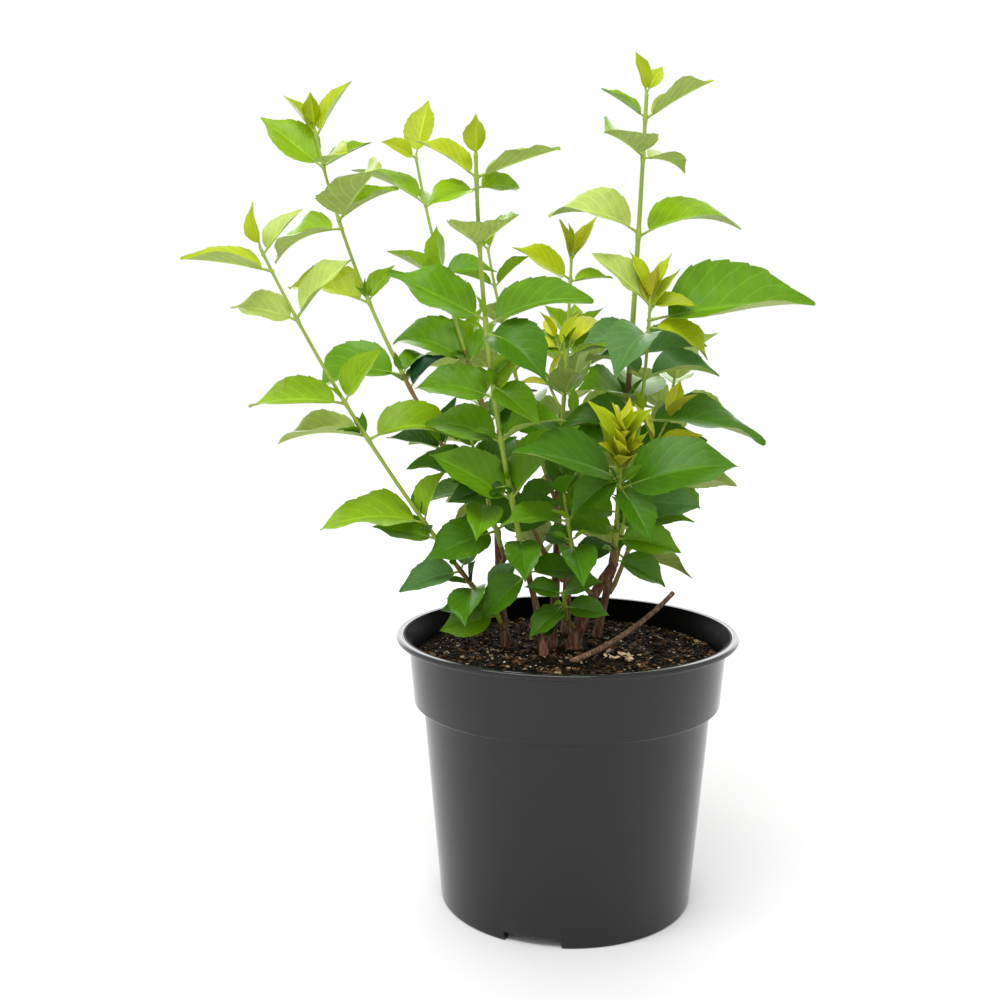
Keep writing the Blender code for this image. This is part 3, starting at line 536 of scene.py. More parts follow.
peat = crumbly("moist_peat", "#040302", "#140D08", 0.8, 1.1)
soil = mesh_piece("potting_soil", ground_points, ground_faces, [peat])
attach(soil, "root")
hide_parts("soil")
print("soil", [round(side * 1000) for side in soil.dimensions], "mm")

# %% The kinds of crumb
# How many, how long in millimetres, how flat, and the material of each kind of crumb.
CRUMB_KINDS = (
    (3200, (0.9, 4.2), 0.9, crumbly("peat_crumb", "#080603", "#2E2312", 0.7, 0.7)),
    (900, (1.0, 5.6), 0.4, crumbly("bark_chip", "#22150A", "#73502F", 0.7, 0.9)),
    (520, (0.8, 4.2), 0.35, crumbly("tan_wood_chip", "#5C4A30", "#BFA27A", 0.7, 0.9)),
    (110, (0.8, 2.2), 0.85, crumbly("pale_grit", "#B9B2A6", "#F1EDE4", 0.8, 0.6)),
    (17, (4.0, 9.5), 0.25, crumbly("pale_splinter", "#A4886A", "#E8CFAF", 0.7, 1.2)),
)
print("kinds of crumb", len(CRUMB_KINDS))

# %% The loose crumbs on the ground
# Middle and radius of the patch of splinters.
SPLINTER_PATCH = (27.0, -15.0, 10.0)
CRUMB_MARGIN = 4.0
LUMP_WIDTHS = (0.4, 0.8)
LUMP_DEPTHS = (0.3, 0.6)
LUMP_UNEVEN = (0.45, 1.2)
LUMP_TILT = 0.9
LUMP_LIFT = 0.12
LUMP_SHAPE = (
    (1, 0, 0), (-1, 0, 0), (0, 1, 0), (0, -1, 0), (0, 0, 1), (0, 0, -1),
    (0.62, 0.62, 0.5), (-0.62, 0.62, 0.5), (-0.62, -0.62, 0.5), (0.62, -0.62, 0.5),
)
LUMP_FACES = (
    (0, 6, 9), (6, 4, 9), (6, 2, 7), (6, 7, 4), (7, 1, 8), (7, 8, 4), (8, 3, 9), (8, 9, 4),
    (0, 2, 6), (2, 1, 7), (1, 3, 8), (3, 0, 9), (2, 0, 5), (1, 2, 5), (3, 1, 5), (0, 3, 5),
)
CRUMB_SEED = 7


def soil_crumbs():
    """Lumps of each kind, scattered over the ground and half sunk in it."""
    chance = random.Random(CRUMB_SEED)
    reach = inner_radius(SOIL_EDGE_Z) - CRUMB_MARGIN
    vertices, faces, slots = [], [], []
    for kind, (count, lengths, flatness, _) in enumerate(CRUMB_KINDS):
        last_kind = kind == len(CRUMB_KINDS) - 1
        middle_x, middle_y, spread = SPLINTER_PATCH if last_kind else (0.0, 0.0, reach)
        for _ in range(count):
            radius = spread * math.sqrt(chance.random())
            angle = chance.uniform(0.0, 2.0 * math.pi)
            x, y = middle_x + radius * math.cos(angle), middle_y + radius * math.sin(angle)
            length = chance.uniform(*lengths)
            width, depth = chance.uniform(*LUMP_WIDTHS), chance.uniform(*LUMP_DEPTHS)
            sides = Vector((1.0, width, depth * flatness))
            tilt = Matrix.Rotation(chance.uniform(-LUMP_TILT, LUMP_TILT), 3, "X")
            spin = Matrix.Rotation(chance.uniform(0.0, 2.0 * math.pi), 3, "Z") @ tilt
            start = len(vertices)
            centre = Vector((x, y, ground_height(x, y) + LUMP_LIFT * length))
            for corner in LUMP_SHAPE:
                uneven = chance.uniform(*LUMP_UNEVEN) * length / 2.0
                point = Vector([c * s * uneven for c, s in zip(corner, sides)])
                vertices.append(centre + spin @ point)
            faces += [tuple(start + index for index in face) for face in LUMP_FACES]
            slots += [kind] * len(LUMP_FACES)
    return vertices, faces, slots


crumb_points, crumb_faces, crumb_slots = soil_crumbs()
crumbs = mesh_piece(
    "soil_crumbs", crumb_points, crumb_faces, [kind[3] for kind in CRUMB_KINDS], crumb_slots,
)
crumbs.data.set_sharp_from_angle(angle=math.radians(35.0))
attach(crumbs, "root")
print("crumb faces", len(crumb_faces))

# %% [markdown]
# ## The woody canes
#
# Six canes come out of the soil, and one more was pruned back to a bare stub. Each is one
# tapering limb, so each is a tube swept along a bent line. Its bark is relief in the mesh:
# long shallow furrows made by noise that is stretched along the cane, and a thicker ring
# where a bud pair once sat. The lines are those of the solid model. Only the stub is drawn
# a little thinner than its solid, because dead wood dries out and shrinks.

# %% Lines in space
# Foot, tip and belly of each cane, then its radius at the foot and at the tip.
CANES = {
    "left_cane": ((-33, 9), (-38, 13, 203), (-1, -2, 0), 2.4, 1.9),
    "front_cane": ((-13, -14), (-17, -9, 165), (0, 0, 0), 2.2, 1.9),
    "middle_cane": ((-8, 4), (-4, 20, 234), (1, 2, 0), 2.6, 1.9),
    "right_cane": ((4, 3), (25, -13, 190), (-2, 3, 0), 3.8, 2.3),
    "right_back_cane": ((19, 28), (31, 27, 212), (1, -2, 0), 2.3, 1.9),
    "back_cane": ((2, 39), (5, 66, 212), (0, 2, 0), 2.7, 2.0),
}
ROOT_FLARE = 1.3
ROOT_FLARE_HEIGHT = 10.0
STUB_FOOT = (6, -25)
STUB_TIP = (61, 18, 167)
STUB_BELLY = (1.5, 1.0, -3.5)
STUB_R = (2.2, 1.8)
STUB_SHRUNK = 0.74


def bent_path(foot, tip, belly, count):
    """Points from foot to tip of a limb whose middle stands off by the belly."""
    foot, tip = Vector(foot), Vector(tip)
    knee = (foot + tip) / 2.0 + 2.0 * Vector(belly)
    path = []
    for index in range(count):
        t = index / (count - 1)
        path.append((1 - t) ** 2 * foot + 2 * t * (1 - t) * knee + t ** 2 * tip)
    return path


def path_directions(path):
    """The way that a path runs at each of its points."""
    last = len(path) - 1
    return [
        (path[min(i + 1, last)] - path[max(i - 1, 0)]).normalized() for i in range(len(path))
    ]


def across(direction, reference):
    """Two unit vectors square to a direction, the first as near the reference as can be."""
    first = (reference - reference.dot(direction) * direction).normalized()
    return first, direction.cross(first)


print("canes", len(CANES))

# %% Where a cane runs and how thick it is
def cane_path(name, count=7):
    """Points along a cane, from just above the soil to its tip."""
    foot, tip, belly = CANES[name][:3]
    return bent_path((foot[0], foot[1], SOIL_TOP + GAP), tip, belly, count)


def cane_radius(name, height):
    """The radius of a cane at a height: its taper and the flare at its foot."""
    foot_r, tip_r = CANES[name][3:]
    top = CANES[name][1][2]
    part = (height - SOIL_TOP) / (top - SOIL_TOP)
    flare = (ROOT_FLARE - 1.0) * max(0.0, 1.0 - (height - SOIL_TOP) / ROOT_FLARE_HEIGHT) ** 2
    return (foot_r + (tip_r - foot_r) * part) * (1.0 + flare)


def point_at_height(path, height):
    """The point of a path at a height, and the direction of the path there."""
    for low, high in zip(path, path[1:]):
        if low.z <= height <= high.z:
            part = (height - low.z) / (high.z - low.z)
            return low.lerp(high, part), (high - low).normalized()
    return path[-1].copy(), (path[-1] - path[-2]).normalized()


def even_radii(ends, count):
    """Radii that go evenly from one end to the other."""
    return [ends[0] + (ends[1] - ends[0]) * i / (count - 1) for i in range(count)]


print("left cane", 2.0 * round(cane_radius("left_cane", SOIL_TOP), 2), "mm thick at its foot")

# %% A tube with any relief
def relief_tube(path, radii, sides, relief=None, cap=0.5):
    """A closed tube with rounded ends. relief gives a factor from the angle and the length."""
    directions = path_directions(path)
    chord = (path[-1] - path[0]).normalized()
    reference = Vector((1.0, 0.0, 0.0)) if abs(chord.x) <= 0.9 else Vector((0.0, 0.0, 1.0))
    vertices = [path[0] - cap * radii[0] * directions[0]]
    travelled = 0.0
    for index, (point, direction, radius) in enumerate(zip(path, directions, radii)):
        if index:
            travelled += (point - path[index - 1]).length
        first, second = across(direction, reference)
        for step in range(sides):
            angle = 2.0 * math.pi * step / sides
            here = radius * (relief(angle, travelled) if relief else 1.0)
            vertices.append(point + here * (math.cos(angle) * first + math.sin(angle) * second))
    vertices.append(path[-1] + cap * radii[-1] * directions[-1])
    faces = []
    for step in range(sides):
        after = (step + 1) % sides
        faces.append((0, 1 + after, 1 + step))
        for ring in range(len(path) - 1):
            low = 1 + ring * sides
            faces.append((low + step, low + after, low + sides + after, low + sides + step))
        low = 1 + (len(path) - 1) * sides
        faces.append((low + step, low + after, len(vertices) - 1))
    return vertices, faces


class Bundle:
    """Gathers many small shapes into the lists of one mesh."""

    def __init__(self):
        self.vertices, self.faces, self.slots, self.uvs = [], [], [], []

    def add(self, vertices, faces, slots, uvs=None):
        start = len(self.vertices)
        self.vertices += vertices
        self.faces += [tuple(start + index for index in face) for face in faces]
        self.slots += slots if isinstance(slots, list) else [slots] * len(faces)
        self.uvs += uvs if uvs is not None else [(0.5, 0.5)] * len(vertices)


print("a plain tube", len(relief_tube(cane_path("left_cane"), [1.0] * 7, 5)[1]), "faces")

# %% The canes and the stub with their bark
CANE_SIDES = 18
CANE_POINTS = 64
STUB_POINTS = 60
BURIED_MM = 6.0
FURROW_MM = 1.6
FURROW_LENGTH_MM = 16.0
# Depths of furrows, flakes and bud rings as shares of the radius.
FURROW_SHARE = 0.08
FLAKE_SHARE = 0.07
BUD_RING_SHARE = 0.09
BUD_RING_SPACING_MM = 31.0
BUD_RING_PLACE_MM = 20.0
BUD_RING_MM = 1.6
CUT_CAP = 0.12


def bark_relief(seed):
    """How far the bark stands in or out, around and along one cane."""
    def relief(angle, travelled):
        around = Vector((math.cos(angle), math.sin(angle), 0.0)) * 3.0 / FURROW_MM
        along = Vector((seed, seed, travelled / FURROW_LENGTH_MM))
        furrow = noise.noise(around + along)
        flake = max(0.0, noise.noise(around * 0.6 + along * 2.3 + Vector((5.0, 1.0, 0.0))))
        beside = travelled % BUD_RING_SPACING_MM - BUD_RING_PLACE_MM
        ring = math.exp(-(beside / BUD_RING_MM) ** 2)
        return 1.0 + FURROW_SHARE * furrow + FLAKE_SHARE * flake + BUD_RING_SHARE * ring
    return relief


def bark_pieces():
    """Every cane and the stub in one bundle. Slots: bark, pale cut end, bark of the stub."""
    bundle = Bundle()
    for seed, name in enumerate(CANES):
        path = cane_path(name, CANE_POINTS)
        buried = path[0] - Vector((0.0, 0.0, BURIED_MM))
        path = [buried] + path
        radii = [cane_radius(name, max(point.z, SOIL_TOP)) for point in path]
        vertices, faces = relief_tube(path, radii, CANE_SIDES, bark_relief(seed * 7.3))
        bundle.add(vertices, faces, 0)
    foot = Vector((STUB_FOOT[0], STUB_FOOT[1], SOIL_TOP + GAP + 0.3))
    path = bent_path(foot, STUB_TIP, STUB_BELLY, STUB_POINTS)
    path.insert(0, foot - BURIED_MM * (path[1] - path[0]).normalized())
    radii = [STUB_SHRUNK * radius for radius in even_radii(STUB_R, len(path))]
    vertices, faces = relief_tube(path, radii, CANE_SIDES, bark_relief(91.0), CUT_CAP)
    slots = [1 if len(vertices) - 1 in face else 2 for face in faces]
    bundle.add(vertices, faces, slots)
    return bundle


bark_bundle = bark_pieces()
print("bark faces", len(bark_bundle.faces))

# %% [markdown]
# ## Bark and cut wood
#
# Mock orange bark is thin, red brown, and peels in narrow grey strips on older canes. It is
# matt. The colour runs along the cane as the furrows do, so its noise is stretched the same
# way: 1.5 mm across and 14 mm along. The pruned stub is dead, so its bark has bleached, and
# its end shows wood that has weathered to tan.

# %% The bark finish
STRIP_WIDTH_MM = 1.5
STRIP_LENGTH_MM = 14.0


def peeling_bark(name, furrow, skin, strip):
    """Thin bark from the dark of its furrows over its own colour to its loose strips."""
    material, shader = new_material(name, Roughness=0.78, Specular_IOR_Level=0.3)
    place = add_node(material, "ShaderNodeTexCoord")
    thin, long = 1.0 / (STRIP_WIDTH_MM * MM), 1.0 / (STRIP_LENGTH_MM * MM)
    stretch = add_node(
        material, "ShaderNodeMapping", {"Scale": (thin, thin, long)},
        {"Vector": place.outputs["Object"]},
    )
    strips = add_node(
        material, "ShaderNodeTexNoise", {"Scale": 1.0, "Detail": 6.0, "Roughness": 0.65},
        {"Vector": stretch.outputs["Vector"]},
    )
    tones = add_node(material, "ShaderNodeValToRGB", None, {"Fac": strips.outputs["Fac"]})
    ramp = tones.color_ramp
    ramp.elements[0].position, ramp.elements[0].color = 0.32, hex_colour(furrow)
    ramp.elements[1].position, ramp.elements[1].color = 0.72, hex_colour(strip)
    middle = ramp.elements.new(0.52)
    middle.color = hex_colour(skin)
    bump = add_node(
        material, "ShaderNodeBump", {"Strength": 0.7, "Distance": 0.4 * MM},
        {"Height": strips.outputs["Fac"]},
    )
    feed(material, tones.outputs["Color"], shader, "Base Color")
    feed(material, bump.outputs["Normal"], shader, "Normal")
    return material


cut_wood = crumbly("weathered_cut_wood", "#8A6B4A", "#C4A882", 0.7, 0.5)
living_bark = peeling_bark("peeling_bark", "#35201A", "#6E4733", "#A08D78")
dead_bark = peeling_bark("bleached_bark", "#3A2A1E", "#6A4E3B", "#A68F77")
bark = mesh_piece(
    "cane_bark", bark_bundle.vertices, bark_bundle.faces, [living_bark, cut_wood, dead_bark],
    bark_bundle.slots,
)
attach(bark, "root")
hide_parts(*CANES, "pruned_stub")
print("bark piece", [round(side * 1000) for side in bark.dimensions], "mm")

# %% [markdown]
# ## The green shoots
#
# This year's growth is green and soft. From each cane rise long shoots, and along them the
# leaves stand in opposite pairs, each pair turned from the last. The table below is the one
# that the solid model grows from. Each row is one pair of leaves: its height, the turn of
# the first leaf about the stem (0 right, 90 back, 180 left, 270 front), the length of the
# two leaves (0 where one was lost), their spread from the stem, their droop, and how far
# the blades give in to the light. Sizes are millimetres and degrees.

# %% The shoots on the left and in front
FRONT_LIGHT = Vector((0.0, -1.15, 0.65))
BACK_LIGHT = Vector((0.0, 0.80, 0.80))
LEFT_SHOOTS = (
    {
        "name": "far_left_shoot", "cane": "left_cane", "height": 156, "side": 190,
        "tip": (-154, -50, 353), "belly": (-7, -4, 0), "light": FRONT_LIGHT,
        "pairs": (
            (174, 275, 38, 0, 75, 40, 1.2),
            (183, 200, 36, 32, 60, 24, 1.0),
            (202, 190, 36, 0, 38, 15, 1.0),
            (211, 190, 58, 33, 40, 44, 0.4),
            (259, 180, 48, 0, 50, 38, 0.3),
            (257, 5, 52, 0, 94, 70, 1.3),
            (276, 180, 52, 34, 52, 32, 0.5),
            (318, 175, 36, 0, 44, 30, 1.0),
            (319, 0, 42, 0, 62, 20, 1.0),
            (342, 190, 44, 0, 51, 12, 0.2),
            (350, 20, 30, 0, 62, 10, 1.0),
            (353, 0, 22, 0, 12, 12, 1.2),
        ),
        "twigs": (),
    },
    {
        "name": "left_shoot", "cane": "left_cane", "height": None, "side": None,
        "tip": (-139, 35, 424), "belly": (-14, 3, 0), "light": FRONT_LIGHT,
        "pairs": (
            (224, 150, 38, 40, 60, 30, 1.0),
            (248, 180, 34, 30, 40, 15, 1.0),
            (289, 200, 60, 26, 50, 90, 1.0),
            (329, 165, 56, 0, 46, 30, 1.2),
            (330, 10, 26, 0, 50, 20, 0.6),
            (370, 160, 52, 0, 74, 48, 1.0),
            (374, 297, 68, 0, 80, 6, 0.0),
            (403, 178, 46, 0, 38, 5, 1.4),
            (404, 0, 30, 0, 74, 10, 0.6),
            (405, 310, 36, 0, 90, 15, 1.0),
            (421, 180, 28, 0, 24, 10, 1.0),
            (420, 350, 36, 0, 44, 10, 1.5),
            (424, 90, 22, 22, 10, 4, 0.0),
            (375, 330, 38, 0, 72, 25, 0.9),
            (282, 346, 28, 0, 62, 40, 0.8),
        ),
        "twigs": (),
    },
    {
        "name": "mid_left_shoot", "cane": "middle_cane", "height": 186, "side": 190,
        "tip": (-84, 45, 411), "belly": (-8, 3, 0), "light": FRONT_LIGHT,
        "pairs": (
            (212, 200, 42, 38, 65, 35, 1.0),
            (236, 90, 40, 38, 60, 30, 1.0),
            (262, 185, 50, 36, 60, 40, 1.0),
            (294, 180, 58, 0, 42, 70, 1.1),
            (295, 0, 30, 0, 45, 20, 1.0),
            (322, 100, 40, 34, 55, 35, 1.0),
            (340, 180, 38, 0, 40, 15, 0.8),
            (346, 0, 32, 0, 92, 30, 1.0),
            (346, 310, 27, 0, 24, 6, 0.8),
            (385, 180, 47, 0, 44, 24, 1.3),
            (384, 75, 26, 0, 60, 25, 0.8),
            (410, 220, 22, 0, 62, 20, 2.4),
            (411, 20, 34, 0, 23, 7, 1.6),
        ),
        "twigs": (),
    },
    {
        "name": "centre_shoot", "cane": "front_cane", "height": None, "side": None,
        "tip": (-48, -72, 395), "belly": (-7, 2, 0), "light": FRONT_LIGHT,
        "pairs": (
            (184, 200, 36, 34, 100, 30, 1.0),
            (204, 280, 34, 0, 95, 35, 1.0),
            (225, 175, 50, 54, 42, 25, 1.2),
            (233, 205, 34, 0, 85, 20, 0.8),
            (256, 150, 44, 40, 55, 45, 1.0),
            (279, 180, 44, 0, 60, 50, 0.8),
            (281, 10, 34, 0, 40, 10, 0.8),
            (311, 303, 48, 0, 84, 85, 1.0),
            (286, 320, 34, 0, 110, 30, 0.8),
            (318, 180, 54, 0, 57, 10, 0.6),
            (315, 8, 58, 0, 65, 48, 0.0),
            (353, 250, 34, 0, 56, 4, 0.3),
            (354, 302, 33, 0, 57, 4, 0.3),
            (384, 178, 34, 0, 50, 25, 0.2),
            (384, 5, 42, 0, 70, 8, -0.3),
            (379, 212, 29, 27, 90, 22, 1.2),
            (393, 285, 20, 14, 10, 4, 0.5),
        ),
        "twigs": (),
    },
)
print("shoots, left", len(LEFT_SHOOTS))

# %% The shoots on the right
RIGHT_SHOOTS = (
    {
        "name": "mid_right_shoot", "cane": "middle_cane", "height": None, "side": None,
        "tip": (3, 30, 355), "belly": (0.6, 0.8, 0), "light": FRONT_LIGHT,
        "pairs": (
            (252, 180, 48, 48, 60, 40, 1.0),
            (276, 100, 42, 40, 55, 40, 1.0),
            (299, 350, 38, 30, 62, 45, 1.0),
            (304, 20, 40, 0, 40, 70, 1.0),
            (342, 195, 38, 0, 64, 6, 4.0),
            (341, 0, 24, 0, 75, 15, 0.8),
            (352, 200, 24, 30, 18, 5, 1.4),
            (355, 90, 20, 20, 8, 4, 1.2),
        ),
        "twigs": (
            (268, 150, 28, 40, 22),
            (296, 175, 14, 35, 26),
        ),
    },
    {
        "name": "tall_right_shoot", "cane": "right_back_cane", "height": None, "side": None,
        "tip": (41, 10, 438), "belly": (0.5, -0.9, 0), "light": FRONT_LIGHT,
        "pairs": (
            (240, 150, 50, 50, 60, 40, 1.0),
            (272, 60, 52, 50, 60, 45, 1.0),
            (297, 140, 46, 44, 60, 45, 1.0),
            (366, 175, 55, 0, 60, 63, 0.6),
            (364, 2, 62, 0, 59, 58, 0.3),
            (405, 34, 34, 0, 82, 42, 0.6),
            (406, 243, 53, 0, 77, 12, 0.3),
            (426, 180, 28, 0, 57, 8, 0.5),
            (425, 5, 42, 0, 54, 11, 0.0),
            (438, 200, 22, 20, 18, 4, 1.2),
        ),
        "twigs": (),
    },
    {
        "name": "right_shoot", "cane": "right_back_cane", "height": 176, "side": 285,
        "tip": (43, -4, 333), "belly": (3, -3, 0), "light": FRONT_LIGHT,
        "pairs": (
            (244, 200, 46, 0, 70, 35, 1.0),
            (265, 355, 70, 46, 80, 32, 0.8),
            (288, 330, 42, 42, 60, 60, 1.0),
            (305, 185, 40, 0, 72, 60, 1.2),
            (312, 245, 50, 0, 90, 62, 1.2),
            (315, 340, 38, 0, 100, 60, 1.2),
            (319, 355, 93, 0, 76, 24, 1.1),
            (327, 0, 24, 0, 80, 20, 1.0),
            (327, 190, 42, 0, 48, 6, 1.2),
            (332, 175, 26, 24, 26, 5, 1.2),
        ),
        "twigs": (
            (226, 5, 44, 28, 32),
        ),
    },
    {
        "name": "front_right_shoot", "cane": "right_cane", "height": None, "side": None,
        "tip": (24, -56, 264), "belly": (0, 3, 0), "light": FRONT_LIGHT,
        "pairs": (
            (192, 328, 32, 0, 98, 45, 0.6),
            (204, 338, 37, 36, 76, 60, 1.1),
            (219, 180, 30, 0, 62, 30, 1.0),
            (212, 345, 42, 0, 62, 40, 1.1),
            (234, 300, 36, 0, 100, 30, 1.0),
            (238, 182, 62, 0, 54, 25, 0.5),
            (224, 345, 44, 0, 76, 35, 0.8),
            (232, 0, 65, 0, 60, 44, 0.8),
            (240, 215, 34, 0, 100, 30, 0.8),
            (250, 250, 30, 30, 30, 10, 1.2),
            (256, 160, 30, 29, 24, 10, 1.0),
            (261, 250, 28, 26, 16, 6, 1.2),
            (264, 160, 25, 23, 8, 4, 1.2),
        ),
        "twigs": (),
    },
)
print("shoots, right", len(RIGHT_SHOOTS))

# %% The short shoots in the middle
INNER_SHOOTS = (
    {
        "name": "inner_left_shoot", "cane": "left_cane", "height": 185, "side": 300,
        "tip": (-52, -24, 258), "belly": (0, -3, 0), "light": FRONT_LIGHT,
        "pairs": (
            (206, 190, 44, 40, 75, 40, 1.2),
            (222, 280, 40, 36, 65, 35, 1.2),
            (238, 185, 42, 40, 60, 40, 1.2),
            (250, 275, 34, 30, 45, 15, 1.2),
            (257, 180, 30, 30, 25, 8, 1.0),
        ),
        "twigs": (),
    },
    {
        "name": "inner_right_shoot", "cane": "right_cane", "height": 172, "side": 200,
        "tip": (-4, -30, 236), "belly": (-2, -3, 0), "light": FRONT_LIGHT,
        "pairs": (
            (186, 190, 36, 38, 80, 40, 1.0),
            (200, 280, 38, 30, 75, 40, 1.2),
            (214, 190, 38, 42, 60, 40, 1.2),
            (228, 280, 30, 28, 45, 15, 1.2),
            (236, 0, 26, 28, 25, 8, 1.0),
        ),
        "twigs": (),
    },
    {
        "name": "low_left_shoot", "cane": "left_cane", "height": 150, "side": 250,
        "tip": (-43, -6, 172), "belly": (0, 0, 0), "light": FRONT_LIGHT,
        "pairs": (
            (158, 190, 34, 0, 82, 20, 1.2),
            (164, 160, 36, 0, 60, 20, 1.2),
            (170, 235, 40, 0, 118, 12, 1.3),
            (172, 180, 30, 28, 45, 15, 1.2),
        ),
        "twigs": (),
    },
    {
        "name": "low_front_shoot", "cane": "right_cane", "height": 152, "side": 200,
        "tip": (-3, -14, 174), "belly": (0, 0, 0), "light": FRONT_LIGHT,
        "pairs": (
            (164, 190, 34, 32, 80, 40, 1.2),
            (167, 236, 28, 0, 100, 60, 1.2),
            (173, 165, 30, 28, 50, 20, 1.2),
        ),
        "twigs": (),
    },
)
print("shoots, inner", len(INNER_SHOOTS))

# %% The shoots at the back
BACK_SHOOTS = (
    {
        "name": "thin_back_shoot", "cane": "back_cane", "height": 205, "side": 190,
        "tip": (-44, 70, 363), "belly": (-4, 0.7, 0), "light": BACK_LIGHT,
        "pairs": (
            (238, 170, 44, 40, 60, 40, 1.0),
            (262, 80, 50, 44, 60, 40, 1.0),
            (290, 175, 44, 40, 60, 40, 1.0),
            (316, 80, 42, 34, 55, 30, 1.0),
            (340, 0, 28, 24, 52, 20, 1.0),
            (361, 0, 22, 22, 28, 5, 1.0),
        ),
        "twigs": (),
    },
    {
        "name": "back_left_shoot", "cane": "back_cane", "height": 168, "side": 165,
        "tip": (-58, 112, 304), "belly": (-6, 5, -3), "light": BACK_LIGHT,
        "pairs": (
            (184, 80, 42, 38, 65, 40, 1.0),
            (204, 170, 52, 44, 60, 45, 1.0),
            (226, 80, 54, 46, 60, 50, 1.0),
            (248, 165, 54, 48, 55, 45, 1.0),
            (268, 80, 50, 44, 55, 40, 1.0),
            (286, 165, 42, 40, 50, 30, 1.0),
            (298, 80, 34, 30, 35, 15, 1.0),
            (303, 170, 28, 28, 20, 5, 1.0),
        ),
        "twigs": (
            (214, 140, 34, 50, 36),
        ),
    },
    {
        "name": "back_shoot", "cane": "back_cane", "height": None, "side": None,
        "tip": (10, 122, 312), "belly": (1.3, 8, 0), "light": BACK_LIGHT,
        "pairs": (
            (228, 0, 48, 46, 62, 45, 1.0),
            (243, 90, 56, 40, 60, 50, 1.0),
            (259, 5, 54, 52, 58, 45, 1.0),
            (275, 90, 52, 40, 55, 40, 1.0),
            (288, 0, 44, 42, 50, 30, 1.0),
            (299, 90, 38, 34, 45, 20, 1.0),
            (307, 0, 30, 30, 35, 10, 1.0),
            (312, 90, 24, 24, 15, 5, 1.0),
        ),
        "twigs": (
            (226, 60, 40, 55, 38),
        ),
    },
    {
        "name": "back_right_shoot", "cane": "right_back_cane", "height": 166, "side": 40,
        "tip": (74, 104, 300), "belly": (5, 6, -3), "light": BACK_LIGHT,
        "pairs": (
            (182, 0, 42, 40, 65, 40, 1.0),
            (202, 90, 52, 42, 62, 45, 1.0),
            (222, 0, 54, 48, 60, 50, 1.0),
            (244, 90, 54, 42, 55, 45, 1.0),
            (264, 20, 44, 44, 55, 40, 1.0),
            (281, 90, 42, 38, 50, 30, 1.0),
            (293, 0, 34, 32, 35, 15, 1.0),
            (299, 90, 28, 26, 20, 6, 1.0),
        ),
        "twigs": (
            (212, 45, 34, 50, 34),
        ),
    },
)
SHOOTS = LEFT_SHOOTS + RIGHT_SHOOTS + INNER_SHOOTS + BACK_SHOOTS
print("shoots", len(SHOOTS), "pairs", sum(len(shoot["pairs"]) for shoot in SHOOTS))

# %% [markdown]
# ## Stems by rule
#
# A shoot that goes on from a cane's tip starts just above it. A side shoot leaves its cane
# by a short spur at half a right angle, then bends up. Some shoots carry a twig. The random
# draws are made here in a fixed order, so the same leaves come out on every run.

# %% The path of a shoot
SPUR = 4.0
SEED = 41
OPPOSITE_STEP = 0.7
# Where on a twig its pairs sit, and their size as a share of its leaf.
TWIG_PAIRS = ((0.65, 0.9), (1.0, 0.8))
TWIG_RINGS = 3
TWIG_BELLY = (0, 0, -1.0)
PATH_POINTS = 40


def shoot_foot(shoot):
    """Where a shoot starts, just clear of its cane, and the way that it leaves the cane."""
    path = cane_path(shoot["cane"], 25)
    if shoot["height"] is None:
        return path[-1] + Vector((0.0, 0.0, GAP)), Vector((0.0, 0.0, 1.0))
    point = point_at_height(path, shoot["height"])[0]
    turn = math.radians(shoot["side"])
    outward = Vector((math.cos(turn), math.sin(turn), 0.0))
    reach = cane_radius(shoot["cane"], shoot["height"]) + 1.5 * GAP
    return point + reach * outward, outward


def shoot_path(shoot, count):
    """Points along a shoot, from just clear of its cane to its tip."""
    foot, outward = shoot_foot(shoot)
    if shoot["height"] is None:
        return bent_path(foot, shoot["tip"], shoot["belly"], count)
    knee = foot + SPUR * (outward + Vector((0.0, 0.0, 1.0)))
    return [foot] + bent_path(knee, shoot["tip"], shoot["belly"], count - 1)


def leaf_axes(direction, turn, spread, roll, light):
    """The way a leaf points from its stem, and the way its upper face looks."""
    first, second = across(direction, Vector((1.0, 0.0, 0.0)))
    turn, spread = math.radians(turn), math.radians(max(spread, 3.0))
    outward = math.cos(turn) * first + math.sin(turn) * second
    along = math.cos(spread) * direction + math.sin(spread) * outward
    face = direction - direction.dot(along) * along
    face = face.normalized() + light
    face = (face - face.dot(along) * along).normalized()
    face = Matrix.Rotation(math.radians(roll), 3, along) @ face
    return along, face


print("a shoot's path", [round(part) for part in shoot_path(SHOOTS[0], 5)[-1]])

# %% Every leaf that a shoot would have
def uneven_draws(chance):
    """Three seeded draws, for the roll, lean and tuck of a leaf."""
    return [chance.uniform(-1.0, 1.0) for _ in range(3)]


def wish_for(kind, row, *sizes):
    """A leaf that is wished for. The sizes are those that make_leaf takes."""
    return {"kind": kind, "row": row, "sizes": sizes}


